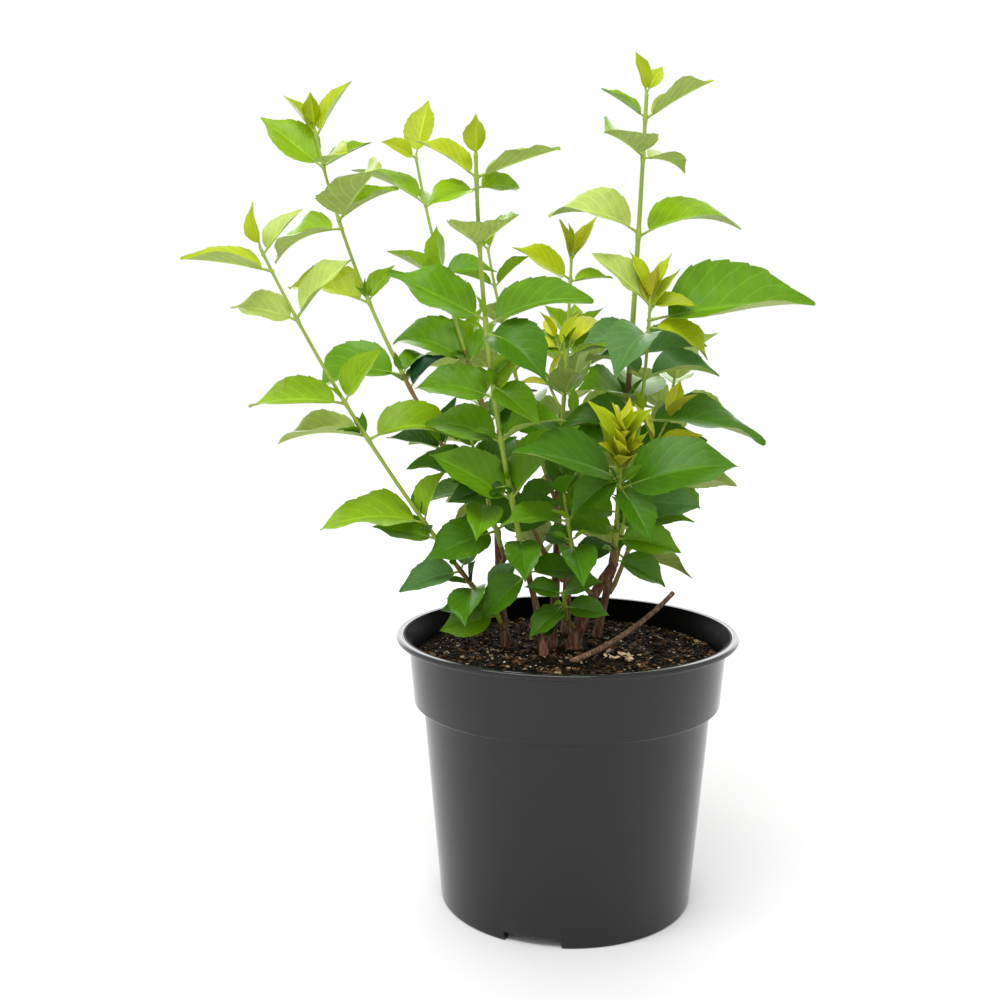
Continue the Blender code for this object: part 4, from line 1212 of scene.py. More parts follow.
def shoot_wishes(shoot, chance):
    """The leaves, pair by pair, each as a root, a way and sizes, and the twigs' paths."""
    path = shoot_path(shoot, PATH_POINTS)
    wishes = []
    twigs = []
    for row, (height, turn, length, opposite, spread, droop, tilt) in enumerate(shoot["pairs"]):
        root, direction = point_at_height(path, height)
        light = tilt * shoot["light"]
        for flip, size in ((0.0, length), (180.0, opposite)):
            draws = uneven_draws(chance)
            if size > 0:
                foot = root + OPPOSITE_STEP * (flip / 180.0) * direction
                wishes.append(wish_for(
                    "pair", row, foot, direction, turn + flip, spread, droop, size, light, draws,
                ))
    for height, turn, length, spread, leaf in shoot["twigs"]:
        root, direction = point_at_height(path, height)
        along = leaf_axes(direction, turn, spread, 0.0, shoot["light"])[0]
        tip = root + length * (along + Vector((0.0, 0.0, 0.35))).normalized()
        twig = bent_path(root, tip, TWIG_BELLY, TWIG_RINGS)
        twigs.append(twig)
        for index, (part, size) in enumerate(TWIG_PAIRS):
            point = twig[0].lerp(twig[-1], part)
            heading = (twig[-1] - twig[0]).normalized()
            spread_here = 50.0 - 18.0 * index
            for flip in (0.0, 180.0):
                wishes.append(wish_for(
                    "twig", index, point, heading, turn + 90.0 * index + flip, spread_here,
                    15.0, leaf * size, shoot["light"], uneven_draws(chance),
                ))
    return wishes, twigs


plans = []
for index, shoot in enumerate(SHOOTS):
    wishes, twigs = shoot_wishes(shoot, random.Random(SEED + index))
    plans.append({"shoot": shoot, "wishes": wishes, "twigs": twigs, "leaves": []})
print("leaves wished for", sum(len(plan["wishes"]) for plan in plans))

# %% [markdown]
# ## Room for every leaf
#
# Real leaves push each other aside. Here a coarse copy of each leaf is tested against the
# canes, the stems and every leaf placed before it. One that would touch is tried again a
# little turned, spread or smaller, and left out if nothing helps. The test uses the coarse
# shapes of the solid model, so that both models keep and lose the same leaves.

# %% The coarse leaf
LEAF_WIDTH = 0.67
LEAF_STALK = 0.11
LEAF_STALK_R = 0.75
ROOT_DEPTH = 0.4
LEAF_FOLD = 27.0
YOUNG_LENGTH = 31.0
SMALL_LENGTH = 44.0
YOUNG_FOLD = 36.0
# Where along the blade it is drawn, and its width there as a share of the full one.
BLADE_STATIONS = ((0.12, 0.68), (0.40, 1.0), (0.75, 0.56))
SMALL_STATIONS = ((0.32, 1.0), (0.72, 0.62))
LENGTH_TO_THICK = 90.0
LEAST_THICK = 0.25


def leaf_point(leaf, s):
    """A point of the midrib, s from 0 at the blade's foot to 1 at its tip, and the axes."""
    bend = math.radians(max(leaf["droop"], 0.5))
    base = leaf["root"] + leaf["stalk"] * leaf["along"]
    run = leaf["length"] * math.sin(bend * s) / bend
    fall = leaf["length"] * (1.0 - math.cos(bend * s)) / bend
    point = base + run * leaf["along"] - fall * leaf["face"]
    along = math.cos(bend * s) * leaf["along"] - math.sin(bend * s) * leaf["face"]
    face = math.cos(bend * s) * leaf["face"] + math.sin(bend * s) * leaf["along"]
    return point, along, face


def coarse_leaf(leaf, swell, blade_only):
    """The few faces that stand for a leaf in the test, swelled by the clearance."""
    small = leaf["length"] < SMALL_LENGTH
    stations = SMALL_STATIONS if small else BLADE_STATIONS
    half = leaf["length"] * leaf["width"] / 2.0
    thick = leaf["length"] / LENGTH_TO_THICK + LEAST_THICK
    fold = math.radians(leaf["fold"])
    stalk = LEAF_STALK_R + swell
    rings = []
    if not blade_only:
        rings.append((leaf["root"], leaf["along"], leaf["face"], stalk, stalk, 0.0))
    if not small and not blade_only:
        rings.append((*leaf_point(leaf, 0.0), stalk, thick / 2.0, 0.0))
    for s, share in stations:
        rings.append((*leaf_point(leaf, s), half * share + swell, thick / 2.0 + swell, fold))
    vertices = []
    for point, along, face, width, depth, bend in rings:
        side = along.cross(face)
        lift = math.sin(bend) * width * face
        vertices.append(point + math.cos(bend) * width * side + lift)
        vertices.append(point + depth * face)
        vertices.append(point - math.cos(bend) * width * side + lift)
        vertices.append(point - depth * face)
    faces = [(3, 2, 1, 0)]
    for low in range(0, 4 * (len(rings) - 1), 4):
        for step in range(4):
            after = (step + 1) % 4
            faces.append((low + step, low + after, low + 4 + after, low + 4 + step))
    vertices.append(leaf_point(leaf, 1.0)[0])
    low = 4 * (len(rings) - 1)
    faces += [(low + step, low + (step + 1) % 4, low + 4) for step in range(4)]
    return vertices, faces


print("stations of a coarse blade", [s for s, _ in BLADE_STATIONS])

# %% What is in the way already
STEM_FOOT_R = 1.7
STEM_TIP_R = 0.85
TWIG_R = (1.0, 0.6)


def tree_of(vertices, faces):
    """A search tree of some faces, which finds what touches them."""
    return BVHTree.FromPolygons([Vector(v) for v in vertices], faces, epsilon=0.0)


def node_tree(name):
    """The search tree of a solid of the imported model."""
    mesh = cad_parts[name].data
    points = [v.co / MM for v in mesh.vertices]
    return tree_of(points, [tuple(p.vertices) for p in mesh.polygons])


taken = [(None, tree, tree) for tree in map(node_tree, ["pot", "soil", *CANES, "pruned_stub"])]
for plan in plans:
    name = plan["shoot"]["name"]
    tubes = [relief_tube(shoot_path(plan["shoot"], 7), even_radii((STEM_FOOT_R, STEM_TIP_R), 7), 5)]
    tubes += [relief_tube(twig, even_radii(TWIG_R, TWIG_RINGS), 3) for twig in plan["twigs"]]
    for vertices, faces in tubes:
        tree = tree_of(vertices, faces)
        taken.append((name, tree, tree))
print("things in the way", len(taken))

# %% Place the leaves
# More turn, more spread and the size of each try.
RETRIES = (
    (0, 0, 1.0), (12, 0, 1.0), (-12, 0, 1.0), (0, 12, 1.0), (0, -10, 1.0), (24, 0, 1.0),
    (-24, 0, 1.0), (18, 14, 0.85), (-18, 14, 0.85), (36, 0, 0.8), (-36, 0, 0.8), (0, 20, 0.7),
)
CLEARANCE = 0.5


def make_leaf(root, direction, turn, spread, droop, length, light, draws, width=LEAF_WIDTH):
    """A leaf as named sizes, with its seeded share of unevenness."""
    roll, lean, tuck = draws
    along, face = leaf_axes(direction, turn + 5.0 * lean, spread, 14.0 * roll, light)
    young = length < YOUNG_LENGTH
    return {
        "root": root - ROOT_DEPTH * along,
        "along": along,
        "face": face,
        "length": length * (1.0 - LEAF_STALK),
        "stalk": max(length * LEAF_STALK, 2.6) + ROOT_DEPTH,
        "droop": droop,
        "width": width,
        "fold": (YOUNG_FOLD if young else LEAF_FOLD) + 7.0 * tuck,
    }


def touches(blade, whole, owner):
    """Whether a leaf comes too near another. On its own shoot only the blade counts."""
    for other_owner, other_blade, other_whole in taken:
        if other_owner == owner:
            if blade.overlap(other_blade):
                return True
        elif whole.overlap(other_whole):
            return True
    return False


def place_leaf(wish, owner, clearance=CLEARANCE, width=LEAF_WIDTH):
    """Try a leaf as wished and then a little off, and give the first that touches nothing."""
    root, direction, turn, spread, droop, length, light, draws = wish["sizes"]
    for more_turn, more_spread, size in RETRIES:
        leaf = make_leaf(
            root, direction, turn + more_turn, spread + more_spread, droop,
            length * size, light, draws, width,
        )
        blade = tree_of(*coarse_leaf(leaf, clearance, True))
        whole = tree_of(*coarse_leaf(leaf, clearance, False))
        if not touches(blade, whole, owner):
            taken.append((owner, blade, whole))
            leaf.update(height=root.z, kind=wish["kind"], row=wish["row"])
            return leaf
    return None


for plan in plans:
    for wish in plan["wishes"]:
        leaf = place_leaf(wish, plan["shoot"]["name"])
        if leaf is not None:
            plan["leaves"].append(leaf)
kept = sum(len(plan["leaves"]) for plan in plans)
print("leaves kept", kept, "left out", sum(len(plan["wishes"]) for plan in plans) - kept)

# %% [markdown]
# ## Small leaves in the axils and at the tips
#
# Where a pair joins its stem, a bud sits above each stalk, and low on this shrub many have
# already opened into one or two small leaves. At some tips a tuft of narrow leaves is just
# unfolding. They are too small for the solid model, yet they make the middle of the plant
# look full. They grow by the same rule from the same stems, and are tested against all that
# is there.

# %% The tufts
SMALL_SEED = 303
SMALL_WIDTH = 0.46
AXIL_LENGTHS = (9.0, 20.0)
AXIL_CHANCE = 0.8
AXIL_TOP_SHARE = 0.66
AXIL_DROOP = 14.0
# How many leaves a tuft has, and how far down the stem it reaches.
TUFTS = {"front_right_shoot": (14, 22.0), "right_shoot": (3, 10.0)}
TUFT_LENGTHS = (17.0, 28.0)
TUFT_DROOP = 6.0
GOLDEN_TURN = 137.5


def tuft_wishes(shoot, chance):
    """Narrow unfolding leaves round the tip of a shoot, the outer ones longer."""
    path = shoot_path(shoot, PATH_POINTS)
    count, reach = TUFTS.get(shoot["name"], (0, 0.0))
    wishes = []
    for index in range(count):
        inward = index / count
        root, direction = point_at_height(path, path[-1].z - reach * (1.0 - inward))
        draws = uneven_draws(chance)
        length = TUFT_LENGTHS[1] + (TUFT_LENGTHS[0] - TUFT_LENGTHS[1]) * inward
        spread = 26.0 - 19.0 * inward + chance.uniform(-4.0, 4.0)
        wishes.append(wish_for(
            "tuft", index, root, direction, index * GOLDEN_TURN, spread, TUFT_DROOP, length,
            0.7 * shoot["light"], draws,
        ))
    return wishes


print("tufts", len(TUFTS))

# %% The leaves in the axils
def axil_wishes(shoot, chance):
    """Small leaves just above every pair, on the lower part of a shoot."""
    path = shoot_path(shoot, PATH_POINTS)
    foot, top = path[0].z, path[-1].z
    wishes = []
    for row, pair in enumerate(shoot["pairs"]):
        height, turn = pair[0], pair[1]
        if height > foot + AXIL_TOP_SHARE * (top - foot):
            continue
        root, direction = point_at_height(path, height + chance.uniform(1.5, 4.0))
        for flip in (70.0, 250.0):
            draws = uneven_draws(chance)
            length, around = chance.uniform(*AXIL_LENGTHS), chance.uniform(-25.0, 25.0)
            spread, tilt = chance.uniform(22.0, 55.0), chance.uniform(0.2, 1.2)
            if chance.random() < AXIL_CHANCE:
                wishes.append(wish_for(
                    "axil", row, root, direction, turn + flip + around, spread, AXIL_DROOP,
                    length, tilt * shoot["light"], draws,
                ))
    return wishes


for index, plan in enumerate(plans):
    chance = random.Random(SMALL_SEED + index)
    for wish in tuft_wishes(plan["shoot"], chance) + axil_wishes(plan["shoot"], chance):
        leaf = place_leaf(wish, plan["shoot"]["name"], 0.0, SMALL_WIDTH)
        if leaf is not None:
            plan["leaves"].append(leaf)
print("small leaves", sum(len(plan["leaves"]) for plan in plans) - kept)

# %% Leaves that are still rolled lengthwise, and so look narrow
# The first row of each shoot from which the pairs are still rolled.
UNROLLING_ROW = {"front_right_shoot": 9, "right_shoot": 9, "mid_right_shoot": 6}
YOUNG_TWIGS = ("mid_right_shoot", "right_shoot")
ROLLED_WIDTH = 0.44
for plan in plans:
    name = plan["shoot"]["name"]
    for leaf in plan["leaves"]:
        unrolling = leaf["kind"] == "pair" and leaf["row"] >= UNROLLING_ROW.get(name, math.inf)
        if unrolling or leaf["kind"] == "twig" and name in YOUNG_TWIGS:
            leaf["width"] = ROLLED_WIDTH
print("rolled leaves", sum(leaf["width"] == ROLLED_WIDTH for p in plans for leaf in p["leaves"]))

# %% [markdown]
# ## Stems with nodes
#
# A young stem is smooth and round, a touch thicker where a pair of leaves joins it, and it
# swells at its foot where it springs from the cane. So each stem is a tube of many rings,
# and its radius rises near each pair. The lowest part has begun to turn woody and brown, so
# the faces there take another material.

# %% The stems
STEM_SIDES = 10
STEM_RING_MM = 1.8
TWIG_POINTS = 16
NODE_SWELL = 0.20
# Width of the stems as a share of the solid ones. Most look thinner than those.
STEM_WIDTHS = {"tall_right_shoot": 1.15, "centre_shoot": 1.0}
STEM_USUAL = 0.82
NODE_REACH_MM = 2.2
# How much of a stem, from its foot, has begun to turn to wood.
WOODY_SHARE = {"left_shoot": 0.40, "mid_left_shoot": 0.52, "tall_right_shoot": 0.35}
WOODY_USUAL = 0.16
STEM_LIFT_MM = 0.9


def shoot_radius(part, heights, height, cane_r, width):
    """The radius of a stem: its taper, its thicker nodes and the swelling at its foot."""
    radius = STEM_FOOT_R + (STEM_TIP_R - STEM_FOOT_R) * part
    for node in heights:
        radius *= 1.0 + NODE_SWELL * math.exp(-((height - node) / NODE_REACH_MM) ** 2)
    return width * radius + max(0.0, cane_r - STEM_FOOT_R) * math.exp(-part / 0.02)


def stem_pieces():
    """Every stem and twig. Slot 0 is green, slot 1 the browner foot."""
    bundle = Bundle()
    for plan in plans:
        shoot = plan["shoot"]
        coarse = shoot_path(shoot, PATH_POINTS)
        length = sum((b - a).length for a, b in zip(coarse, coarse[1:]))
        path = shoot_path(shoot, max(12, int(length / STEM_RING_MM)))
        path.insert(0, path[0] - STEM_LIFT_MM * (path[1] - path[0]).normalized())
        heights = [row[0] for row in shoot["pairs"]]
        on_tip = shoot["height"] is None
        cane_r = cane_radius(shoot["cane"], CANES[shoot["cane"]][1][2]) if on_tip else 2.3
        count, width = len(path) - 1, STEM_WIDTHS.get(shoot["name"], STEM_USUAL)
        radii = [
            shoot_radius(i / count, heights, p.z, cane_r, width) for i, p in enumerate(path)
        ]
        radii[0] *= 0.96
        vertices, faces = relief_tube(path, radii, STEM_SIDES)
        woody = 1 + STEM_SIDES * int(WOODY_SHARE.get(shoot["name"], WOODY_USUAL) * len(path))
        bundle.add(vertices, faces, [1 if min(face) < woody else 0 for face in faces])
        for twig in plan["twigs"]:
            path = bent_path(twig[0], twig[-1], TWIG_BELLY, TWIG_POINTS)
            vertices, faces = relief_tube(path, even_radii(TWIG_R, TWIG_POINTS), STEM_SIDES)
            bundle.add(vertices, faces, 0)
    return bundle


stem_bundle = stem_pieces()
print("stem faces", len(stem_bundle.faces))

# %% [markdown]
# ## Living green stem and ripening bark
#
# A young stem is a moist green skin over a firm core: smooth, half glossy, index 1.4, with
# fine lengthwise streaks. Lower down cork forms under it, and it turns red brown and matt.
# Both take one recipe with other colours. The streaks are 0.5 mm wide on the plant.

# %% The stem finishes
STREAK_WIDTH_MM = 0.5
STREAK_LENGTH_MM = 9.0


def stem_skin(name, dark, light, roughness):
    """The skin of a young stem, with fine lengthwise streaks between two colours."""
    material, shader = new_material(name, Roughness=roughness, IOR=1.4)
    place = add_node(material, "ShaderNodeTexCoord")
    thin, long = 1.0 / (STREAK_WIDTH_MM * MM), 1.0 / (STREAK_LENGTH_MM * MM)
    stretch = add_node(
        material, "ShaderNodeMapping", {"Scale": (thin, thin, long)},
        {"Vector": place.outputs["Object"]},
    )
    streaks = add_node(
        material, "ShaderNodeTexNoise", {"Scale": 1.0, "Detail": 4.0},
        {"Vector": stretch.outputs["Vector"]},
    )
    colour = add_node(
        material, "ShaderNodeMix", {"data_type": "RGBA", 6: hex_colour(dark), 7: hex_colour(light)},
        {"Factor": streaks.outputs["Fac"]},
    )
    bump = add_node(
        material, "ShaderNodeBump", {"Strength": 0.4, "Distance": 0.15 * MM},
        {"Height": streaks.outputs["Fac"]},
    )
    feed(material, colour.outputs[2], shader, "Base Color")
    feed(material, bump.outputs["Normal"], shader, "Normal")
    return material


green_stem = stem_skin("green_stem_skin", "#728C24", "#A5B848", 0.45)
ripening_stem = stem_skin("ripening_stem_skin", "#5E3F28", "#8E7840", 0.6)
stems = mesh_piece(
    "green_stems", stem_bundle.vertices, stem_bundle.faces, [green_stem, ripening_stem],
    stem_bundle.slots,
)
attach(stems, "root")
print("stems", [round(side * 1000) for side in stems.dimensions], "mm")

# %% [markdown]
# ## One leaf
#
# A mock orange leaf is ovate, 4 to 9 cm long, with a drawn out tip, a few shallow teeth, a
# grooved midrib and side veins that curve forward. A flat card with a picture would fail
# from the side, so every leaf is a thin closed shell. Its upper and lower skins share the
# margin. The blade is folded along the midrib and flattens outwards, its margin waves, and
# the tip hangs by the droop of its row. The stalk is a small tube that runs into the midrib.

# %% The outline of a leaf
TEETH = 7
TOOTH_STEPS = ((0.0, 1.0), (0.55, 1.025), (0.85, 1.045), (0.93, 0.98))
YOUNG_TEETH = 4
OUTLINE_FOOT = 0.60
OUTLINE_TIP = 0.98
WIDEST = OUTLINE_FOOT / (OUTLINE_FOOT + OUTLINE_TIP)
DRAWN_FROM = 0.68
DRAWN_SHARE = 0.45


def outline(s):
    """The share of the full half width at s along the blade, with a drawn out tip."""
    peak = WIDEST ** OUTLINE_FOOT * (1.0 - WIDEST) ** OUTLINE_TIP
    drawn = max(0.0, (s - DRAWN_FROM) / (1.0 - DRAWN_FROM))
    full = s ** OUTLINE_FOOT * (1.0 - s) ** OUTLINE_TIP / peak
    return full * (1.0 - DRAWN_SHARE * drawn * (2.0 - drawn))


def leaf_rows(young):
    """Where the rows of a blade lie, and how far a tooth pushes the margin out there."""
    teeth = YOUNG_TEETH if young else TEETH
    rows = [(0.015, 1.0), (0.05, 1.0)]
    for tooth in range(teeth):
        for part, push in TOOTH_STEPS:
            s = 0.10 + 0.86 * (tooth + part) / teeth
            rows.append((s, push))
    rows.append((0.985, 1.0))
    return rows


print("rows in a grown leaf", len(leaf_rows(False)), "in a young one", len(leaf_rows(True)))

# %% The section of a leaf, and how uneven it may be
COLUMNS = (-1.0, -0.8, -0.56, -0.32, -0.14, 0.0, 0.14, 0.32, 0.56, 0.8, 1.0)
SKIN_MM = 0.34
RIB_MM = 0.55
RIB_REACH_MM = 0.9
GROOVE_MM = 0.22
STALK_SIDES = 6
VEIN_FORWARD = 0.40
YOUNG_OPEN = 0.65
YOUNG_VEINS = 0.6
# How far the blades may differ. Waves, sway and ripple are shares of a leaf's own size.
CUPPING = (0.0, 0.8)
WAVE_SHARE = 0.11
WAVE_DEPTHS = (0.3, 1.0)
WAVE_COUNTS = (1.0, 2.2)
WAVE_TURN = 6.28
TWIST = 18.0
SWAY = 0.06


def section(x, width, fold, cup):
    """Sideways and upward place of the point at x, from folded and flared to cupped."""
    flared = 1.30 * abs(x) - 0.30 * abs(x) ** 3
    lift = (1.0 - cup) * flared + cup * x * x
    return math.cos(fold) * width * x, math.sin(fold) * width * lift


print("columns across a leaf", len(COLUMNS))

# %% Its points
def leaf_shell(leaf, chance):
    """Points, faces, slots and vein coordinates of a leaf. Slots: upper 0, under 1."""
    young = leaf["length"] < YOUNG_LENGTH * (1.0 - LEAF_STALK)
    half = leaf["length"] * leaf["width"] / 2.0
    fold = math.radians(leaf["fold"] * (YOUNG_OPEN if young else 1.0))
    cup = chance.uniform(*CUPPING)
    wave = WAVE_SHARE * half * chance.uniform(*WAVE_DEPTHS)
    wave_start, wave_count = chance.uniform(0.0, WAVE_TURN), chance.uniform(*WAVE_COUNTS)
    twist = math.radians(chance.uniform(-TWIST, TWIST))
    sway = chance.uniform(-SWAY, SWAY) * leaf["length"]
    skin = SKIN_MM * (0.8 if young else 1.0)
    vertices, uvs = [leaf_point(leaf, 0.0)[0]], [(0.5, 0.0)]
    rows = leaf_rows(young)
    for s, push in rows:
        point, along, face = leaf_point(leaf, s)
        side = along.cross(face)
        point = point + sway * s * s * side
        turn = Matrix.Rotation(twist * s, 3, along)
        side, face = turn @ side, turn @ face
        width = half * outline(s) * push
        upper, under = [], []
        for x in COLUMNS:
            across_mm, up_mm = section(x, width, fold, cup)
            edge = 1.0 - x ** 4
            ripple = wave * x * x * math.sin(wave_start + WAVE_TURN * wave_count * s + 1.6 * x)
            middle = point + across_mm * side + (up_mm + ripple * min(1.0, 4.0 * s)) * face
            near_rib = math.exp(-(x * width / RIB_REACH_MM) ** 2)
            upper.append(middle + (skin * edge / 2.0 - GROOVE_MM * near_rib) * face)
            rib = (RIB_MM * (1.0 - 0.8 * s) + 0.1) * near_rib
            under.append(middle - (skin * edge / 2.0 + rib) * face)
        vertices += upper + under[1:-1]
        along_veins = s * (YOUNG_VEINS if young else 1.0)
        shifted = [(0.5 + 0.5 * x, along_veins - VEIN_FORWARD * abs(x) ** 1.2) for x in COLUMNS]
        uvs += shifted + shifted[1:-1]
    tip_point, tip_along, tip_face = leaf_point(leaf, 1.0)
    vertices.append(tip_point + sway * tip_along.cross(tip_face))
    uvs.append((0.5, 1.0))
    faces, slots = shell_faces(len(rows), len(vertices) - 1)
    return vertices, faces, slots, uvs


print("thickness of a grown leaf", SKIN_MM, "mm")

# %% Its faces
def shell_faces(rows, tip):
    """The faces of both skins. A row is its upper points, then the lower ones between.

    Both skins are cut along the same diagonals, so neither can poke through the other.
    """
    wide = len(COLUMNS)
    size = 2 * wide - 2
    faces, slots = [], []

    def upper(row, column):
        return 1 + row * size + column

    def under(row, column):
        if column in (0, wide - 1):
            return upper(row, column)
        return 1 + row * size + wide + column - 1

    for column in range(wide - 1):
        faces.append((0, upper(0, column + 1), upper(0, column)))
        faces.append((0, under(0, column), under(0, column + 1)))
        slots += [0, 1]
        for row in range(rows - 1):
            near, right = (row, column), (row, column + 1)
            ahead, far = (row + 1, column), (row + 1, column + 1)
            for trio in ((near, right, far), (near, far, ahead)):
                faces.append(tuple(upper(*corner) for corner in trio))
                faces.append(tuple(under(*corner) for corner in reversed(trio)))
                slots += [0, 1]
        last = rows - 1
        faces.append((upper(last, column), upper(last, column + 1), tip))
        faces.append((under(last, column + 1), under(last, column), tip))
        slots += [0, 1]
    return faces, slots


print("faces in a shell", len(shell_faces(len(leaf_rows(False)), 0)[0]))

# %% The stalk
def leaf_stalk(leaf):
    """A small tube from the stem into the underside of the midrib."""
    path, radii = [leaf["root"] - 0.5 * leaf["along"]], [1.05]
    for part, radius in ((0.3, 0.85), (0.6, 0.68), (1.0, 0.62)):
        path.append(leaf["root"] + part * leaf["stalk"] * leaf["along"])
        radii.append(radius)
    for s, radius, depth in ((0.07, 0.52, 0.25), (0.16, 0.4, 0.32), (0.3, 0.2, 0.35)):
        point, _, face = leaf_point(leaf, s)
        path.append(point - depth * face)
        radii.append(radius)
    share = 0.8 if leaf["length"] < YOUNG_LENGTH else 1.0
    return relief_tube(path, [share * radius for radius in radii], STALK_SIDES)


print("faces in a stalk", len(leaf_stalk(plans[0]["leaves"][0])[1]))

# %% [markdown]
# ## Which green goes where
#
# The left shoots are in the sun, so their leaves are a light yellow green, and some are
# pale: partly a painted sheen of the light on them. The tips of the middle and right shoots
# are just unfolding and still yellow or bronze. Lower down the leaves are older and darker,
# and the dark and deep tints are darker still as painted shade from the leaves above. The
# table names one tint for each pair, in the order of the pairs above, as one would spray
# them. The shoots at the back and the small leaves take theirs by height, darker lower down
# for the same painted shade, with a little seeded chance.

# %% The tints and the rule that deals them out
# The dark and deep tints partly hold painted shade, and pale partly holds a painted sheen.
TINTS = {
    "lime": "#9DAE14", "pale": "#A8BB5A", "yellow": "#BEC228", "bronze": "#A6A52A",
    "fresh": "#7FA310", "mature": "#5C890C", "dark": "#416E0A", "deep": "#284D08",
    "blue_green": "#557F40", "blackish": "#123F1F",
}
TINT_NAMES = tuple(TINTS)
SHOOT_TINTS = {
    "far_left_shoot": "dark blue_green mature fresh pale fresh fresh pale pale lime pale lime",
    "left_shoot": "dark deep mature lime fresh fresh pale fresh fresh lime lime lime lime fresh "
                  "blackish",
    "mid_left_shoot": "dark mature dark mature mature dark fresh mature fresh fresh fresh lime "
                      "lime",
    "centre_shoot": "dark dark mature deep mature mature fresh dark mature mature mature fresh "
                    "fresh lime fresh fresh lime",
    "mid_right_shoot": "dark mature fresh yellow lime fresh yellow lime",
    "tall_right_shoot": "dark mature blue_green pale fresh pale fresh fresh lime lime",
    "right_shoot": "dark dark blue_green blue_green blue_green lime mature lime pale lime",
    "front_right_shoot": "dark mature mature mature dark dark blue_green dark dark yellow "
                         "lime yellow bronze",
    "inner_left_shoot": "dark mature dark mature fresh",
    "inner_right_shoot": "deep dark mature dark mature",
    "low_left_shoot": "mature dark mature blue_green",
    "low_front_shoot": "dark dark dark",
}
TUFT_TINTS = ("yellow", "yellow", "bronze", "lime")
# From the top down, darker lower on a shoot: older leaves, and painted shade from the leaves above.
BACK_TINTS = ("fresh", "fresh", "mature", "mature", "dark", "dark", "deep")


def tint_of(shoot, leaf, chance):
    """The number of the tint that a leaf takes."""
    named = SHOOT_TINTS.get(shoot["name"], "").split()
    if leaf["kind"] == "pair" and named:
        return TINT_NAMES.index(named[leaf["row"]])
    if leaf["kind"] == "tuft" or leaf["kind"] == "twig" and shoot["name"] in YOUNG_TWIGS:
        return TINT_NAMES.index(chance.choice(TUFT_TINTS))
    top = shoot["tip"][2]
    depth = (top - leaf["height"]) / (top - SOIL_TOP) * len(BACK_TINTS) + chance.uniform(-0.9, 0.9)
    return TINT_NAMES.index(BACK_TINTS[min(len(BACK_TINTS) - 1, max(0, int(depth)))])


print("tints", len(TINTS))

# %% [markdown]
# ## The finish of a leaf
#
# A leaf's upper skin has a thin wax layer: half glossy, index 1.45. Veins lie in it as
# slightly paler lines. They could be a picture, but drawn from the leaf's own coordinates
# they stay sharp and need no file. Across the leaf u runs from 0 to 1, so the midrib is where
# u is 0.5. Along the leaf v was already shifted with u in the mesh, so each side vein is a
# line of equal v that sweeps forward. The underside is paler and matt, though not yet on the
# youngest leaves.

# %% The leaf skins
SIDE_VEINS = 6.5
UNDERSIDE = "#9DB155"
PATCH_MM = 9.0


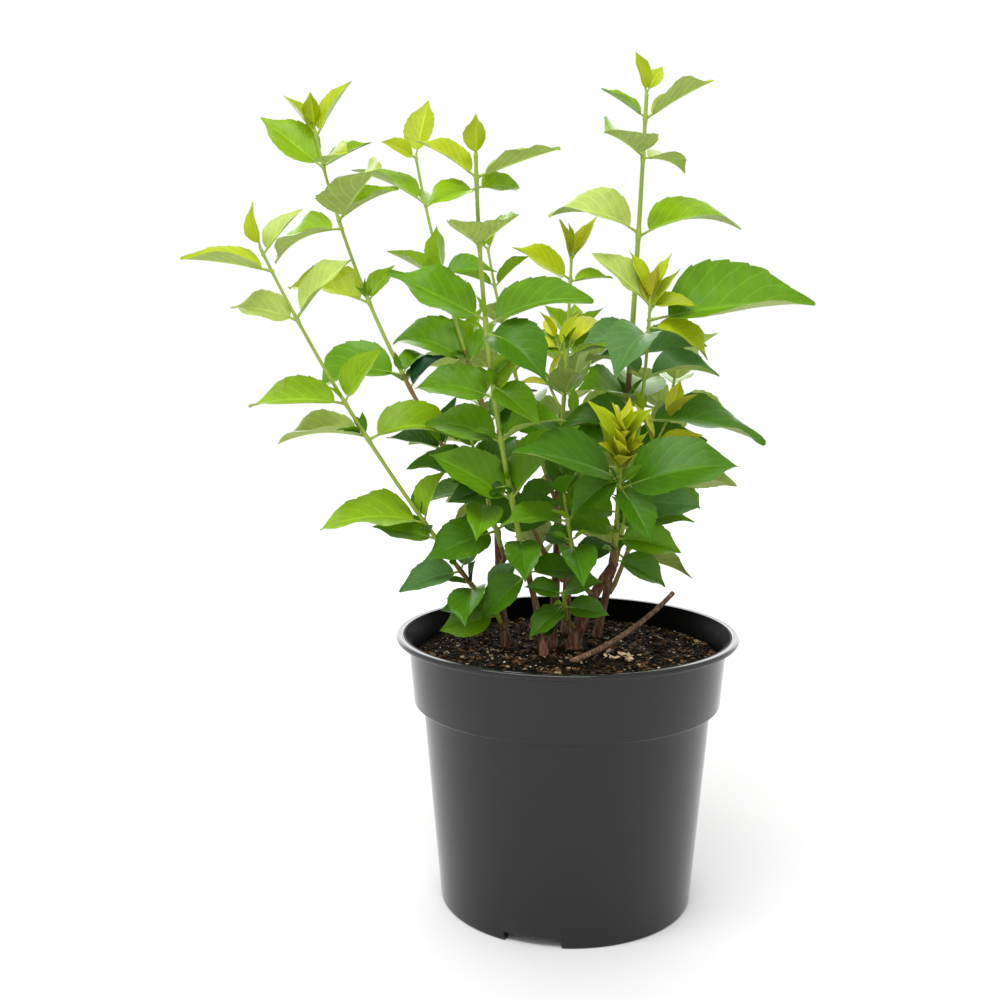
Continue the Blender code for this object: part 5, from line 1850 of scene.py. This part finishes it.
def leaf_skin(name, code, vein_share, roughness, relief):
    """Leaf skin in one tint. relief is below 0 where the veins lie in grooves."""
    material, shader = new_material(name, Roughness=roughness, IOR=1.45, Specular_IOR_Level=0.2)
    drawn = add_node(material, "ShaderNodeUVMap", {"uv_map": "leaf"})
    split = add_node(material, "ShaderNodeSeparateXYZ", None, {"Vector": drawn.outputs["UV"]})
    from_edge = add_node(
        material, "ShaderNodeMath", {"operation": "PINGPONG", 1: 0.5}, {0: split.outputs["X"]},
    )
    midrib = add_node(
        material, "ShaderNodeMapRange",
        {"interpolation_type": "SMOOTHSTEP", "From Min": 0.455, "From Max": 0.488},
        {"Value": from_edge.outputs["Value"]},
    )
    counted = add_node(
        material, "ShaderNodeMath", {"operation": "MULTIPLY", 1: SIDE_VEINS},
        {0: split.outputs["Y"]},
    )
    from_vein = add_node(
        material, "ShaderNodeMath", {"operation": "PINGPONG", 1: 0.5},
        {0: counted.outputs["Value"]},
    )
    side_vein = add_node(
        material, "ShaderNodeMapRange",
        {"interpolation_type": "SMOOTHSTEP", "From Min": 0.10, "From Max": 0.02, "To Max": 0.6},
        {"Value": from_vein.outputs["Value"]},
    )
    veins = add_node(
        material, "ShaderNodeMath", {"operation": "MAXIMUM"},
        {0: midrib.outputs["Result"], 1: side_vein.outputs["Result"]},
    )
    place = add_node(material, "ShaderNodeTexCoord")
    patches = add_node(
        material, "ShaderNodeTexNoise", {"Scale": 1.0 / (PATCH_MM * MM), "Detail": 3.0},
        {"Vector": place.outputs["Object"]},
    )
    tint = hex_colour(code)
    tone = add_node(
        material, "ShaderNodeMix",
        {"data_type": "RGBA", 6: [0.70 * part for part in tint[:3]] + [1.0],
         7: [min(1.0, 1.25 * part) for part in tint[:3]] + [1.0]},
        {"Factor": patches.outputs["Fac"]},
    )
    vein_share_here = add_node(
        material, "ShaderNodeMath", {"operation": "MULTIPLY", 1: vein_share},
        {0: veins.outputs["Value"]},
    )
    colour = add_node(
        material, "ShaderNodeMix",
        {"data_type": "RGBA", 7: [min(1.0, 1.7 * part + 0.02) for part in tint[:3]] + [1.0]},
        {"Factor": vein_share_here.outputs["Value"], 6: tone.outputs[2]},
    )
    quilt = add_node(
        material, "ShaderNodeMath", {"operation": "MULTIPLY_ADD", 1: -1.2 * relief},
        {0: from_vein.outputs["Value"]},
    )
    grooves = add_node(
        material, "ShaderNodeMath", {"operation": "MULTIPLY_ADD", 1: 0.7 * relief},
        {0: veins.outputs["Value"], 2: quilt.outputs["Value"]},
    )
    bump = add_node(
        material, "ShaderNodeBump", {"Strength": 0.35, "Distance": 0.22 * MM},
        {"Height": grooves.outputs["Value"]},
    )
    feed(material, colour.outputs[2], shader, "Base Color")
    feed(material, bump.outputs["Normal"], shader, "Normal")
    return material


leaf_materials = [
    leaf_skin(name + "_leaf", code, 0.38, 0.33, -1.0) for name, code in TINTS.items()
]
leaf_materials.append(leaf_skin("leaf_underside", UNDERSIDE, 0.6, 0.55, 1.0))
leaf_materials.append(green_stem)
print("leaf materials", [material.name for material in leaf_materials])

# %% [markdown]
# ## The leaves together
#
# Each leaf is made from its own sizes, so none is a copy. They are joined into one mesh for
# the left of the plant, one for the right and one for the back, each with fewer than
# 200,000 triangles, and each stands for the solid masses that it grows from.

# %% Join the leaves
LEAF_SEED = 1009
LEAF_PIECES = {
    "leaves_left": ("left", "far_left", "mid_left", "inner_left", "low_left", "centre"),
    "leaves_right": ("mid_right", "tall_right", "right", "front_right", "inner_right", "low_front"),
    "leaves_back": ("thin_back", "back_left", "back", "back_right"),
}
look_chance = random.Random(LEAF_SEED)
for piece_name, members in LEAF_PIECES.items():
    nodes = [member + "_shoot" for member in members]
    bundle = Bundle()
    for plan in plans:
        if plan["shoot"]["name"] not in nodes:
            continue
        for leaf in plan["leaves"]:
            tint = tint_of(plan["shoot"], leaf, look_chance)
            under = tint if leaf["length"] < YOUNG_LENGTH * (1.0 - LEAF_STALK) else len(TINTS)
            vertices, faces, slots, uvs = leaf_shell(leaf, look_chance)
            bundle.add(vertices, faces, [under if slot else tint for slot in slots], uvs)
            vertices, faces = leaf_stalk(leaf)
            bundle.add(vertices, faces, len(TINTS) + 1)
    leaves = mesh_piece(
        piece_name, bundle.vertices, bundle.faces, leaf_materials, bundle.slots, bundle.uvs,
    )
    leaves.data.set_sharp_from_angle(angle=math.radians(60.0))
    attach(leaves, "root")
    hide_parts(*nodes)
    print(piece_name, sum(len(face) - 2 for face in bundle.faces), "triangles")
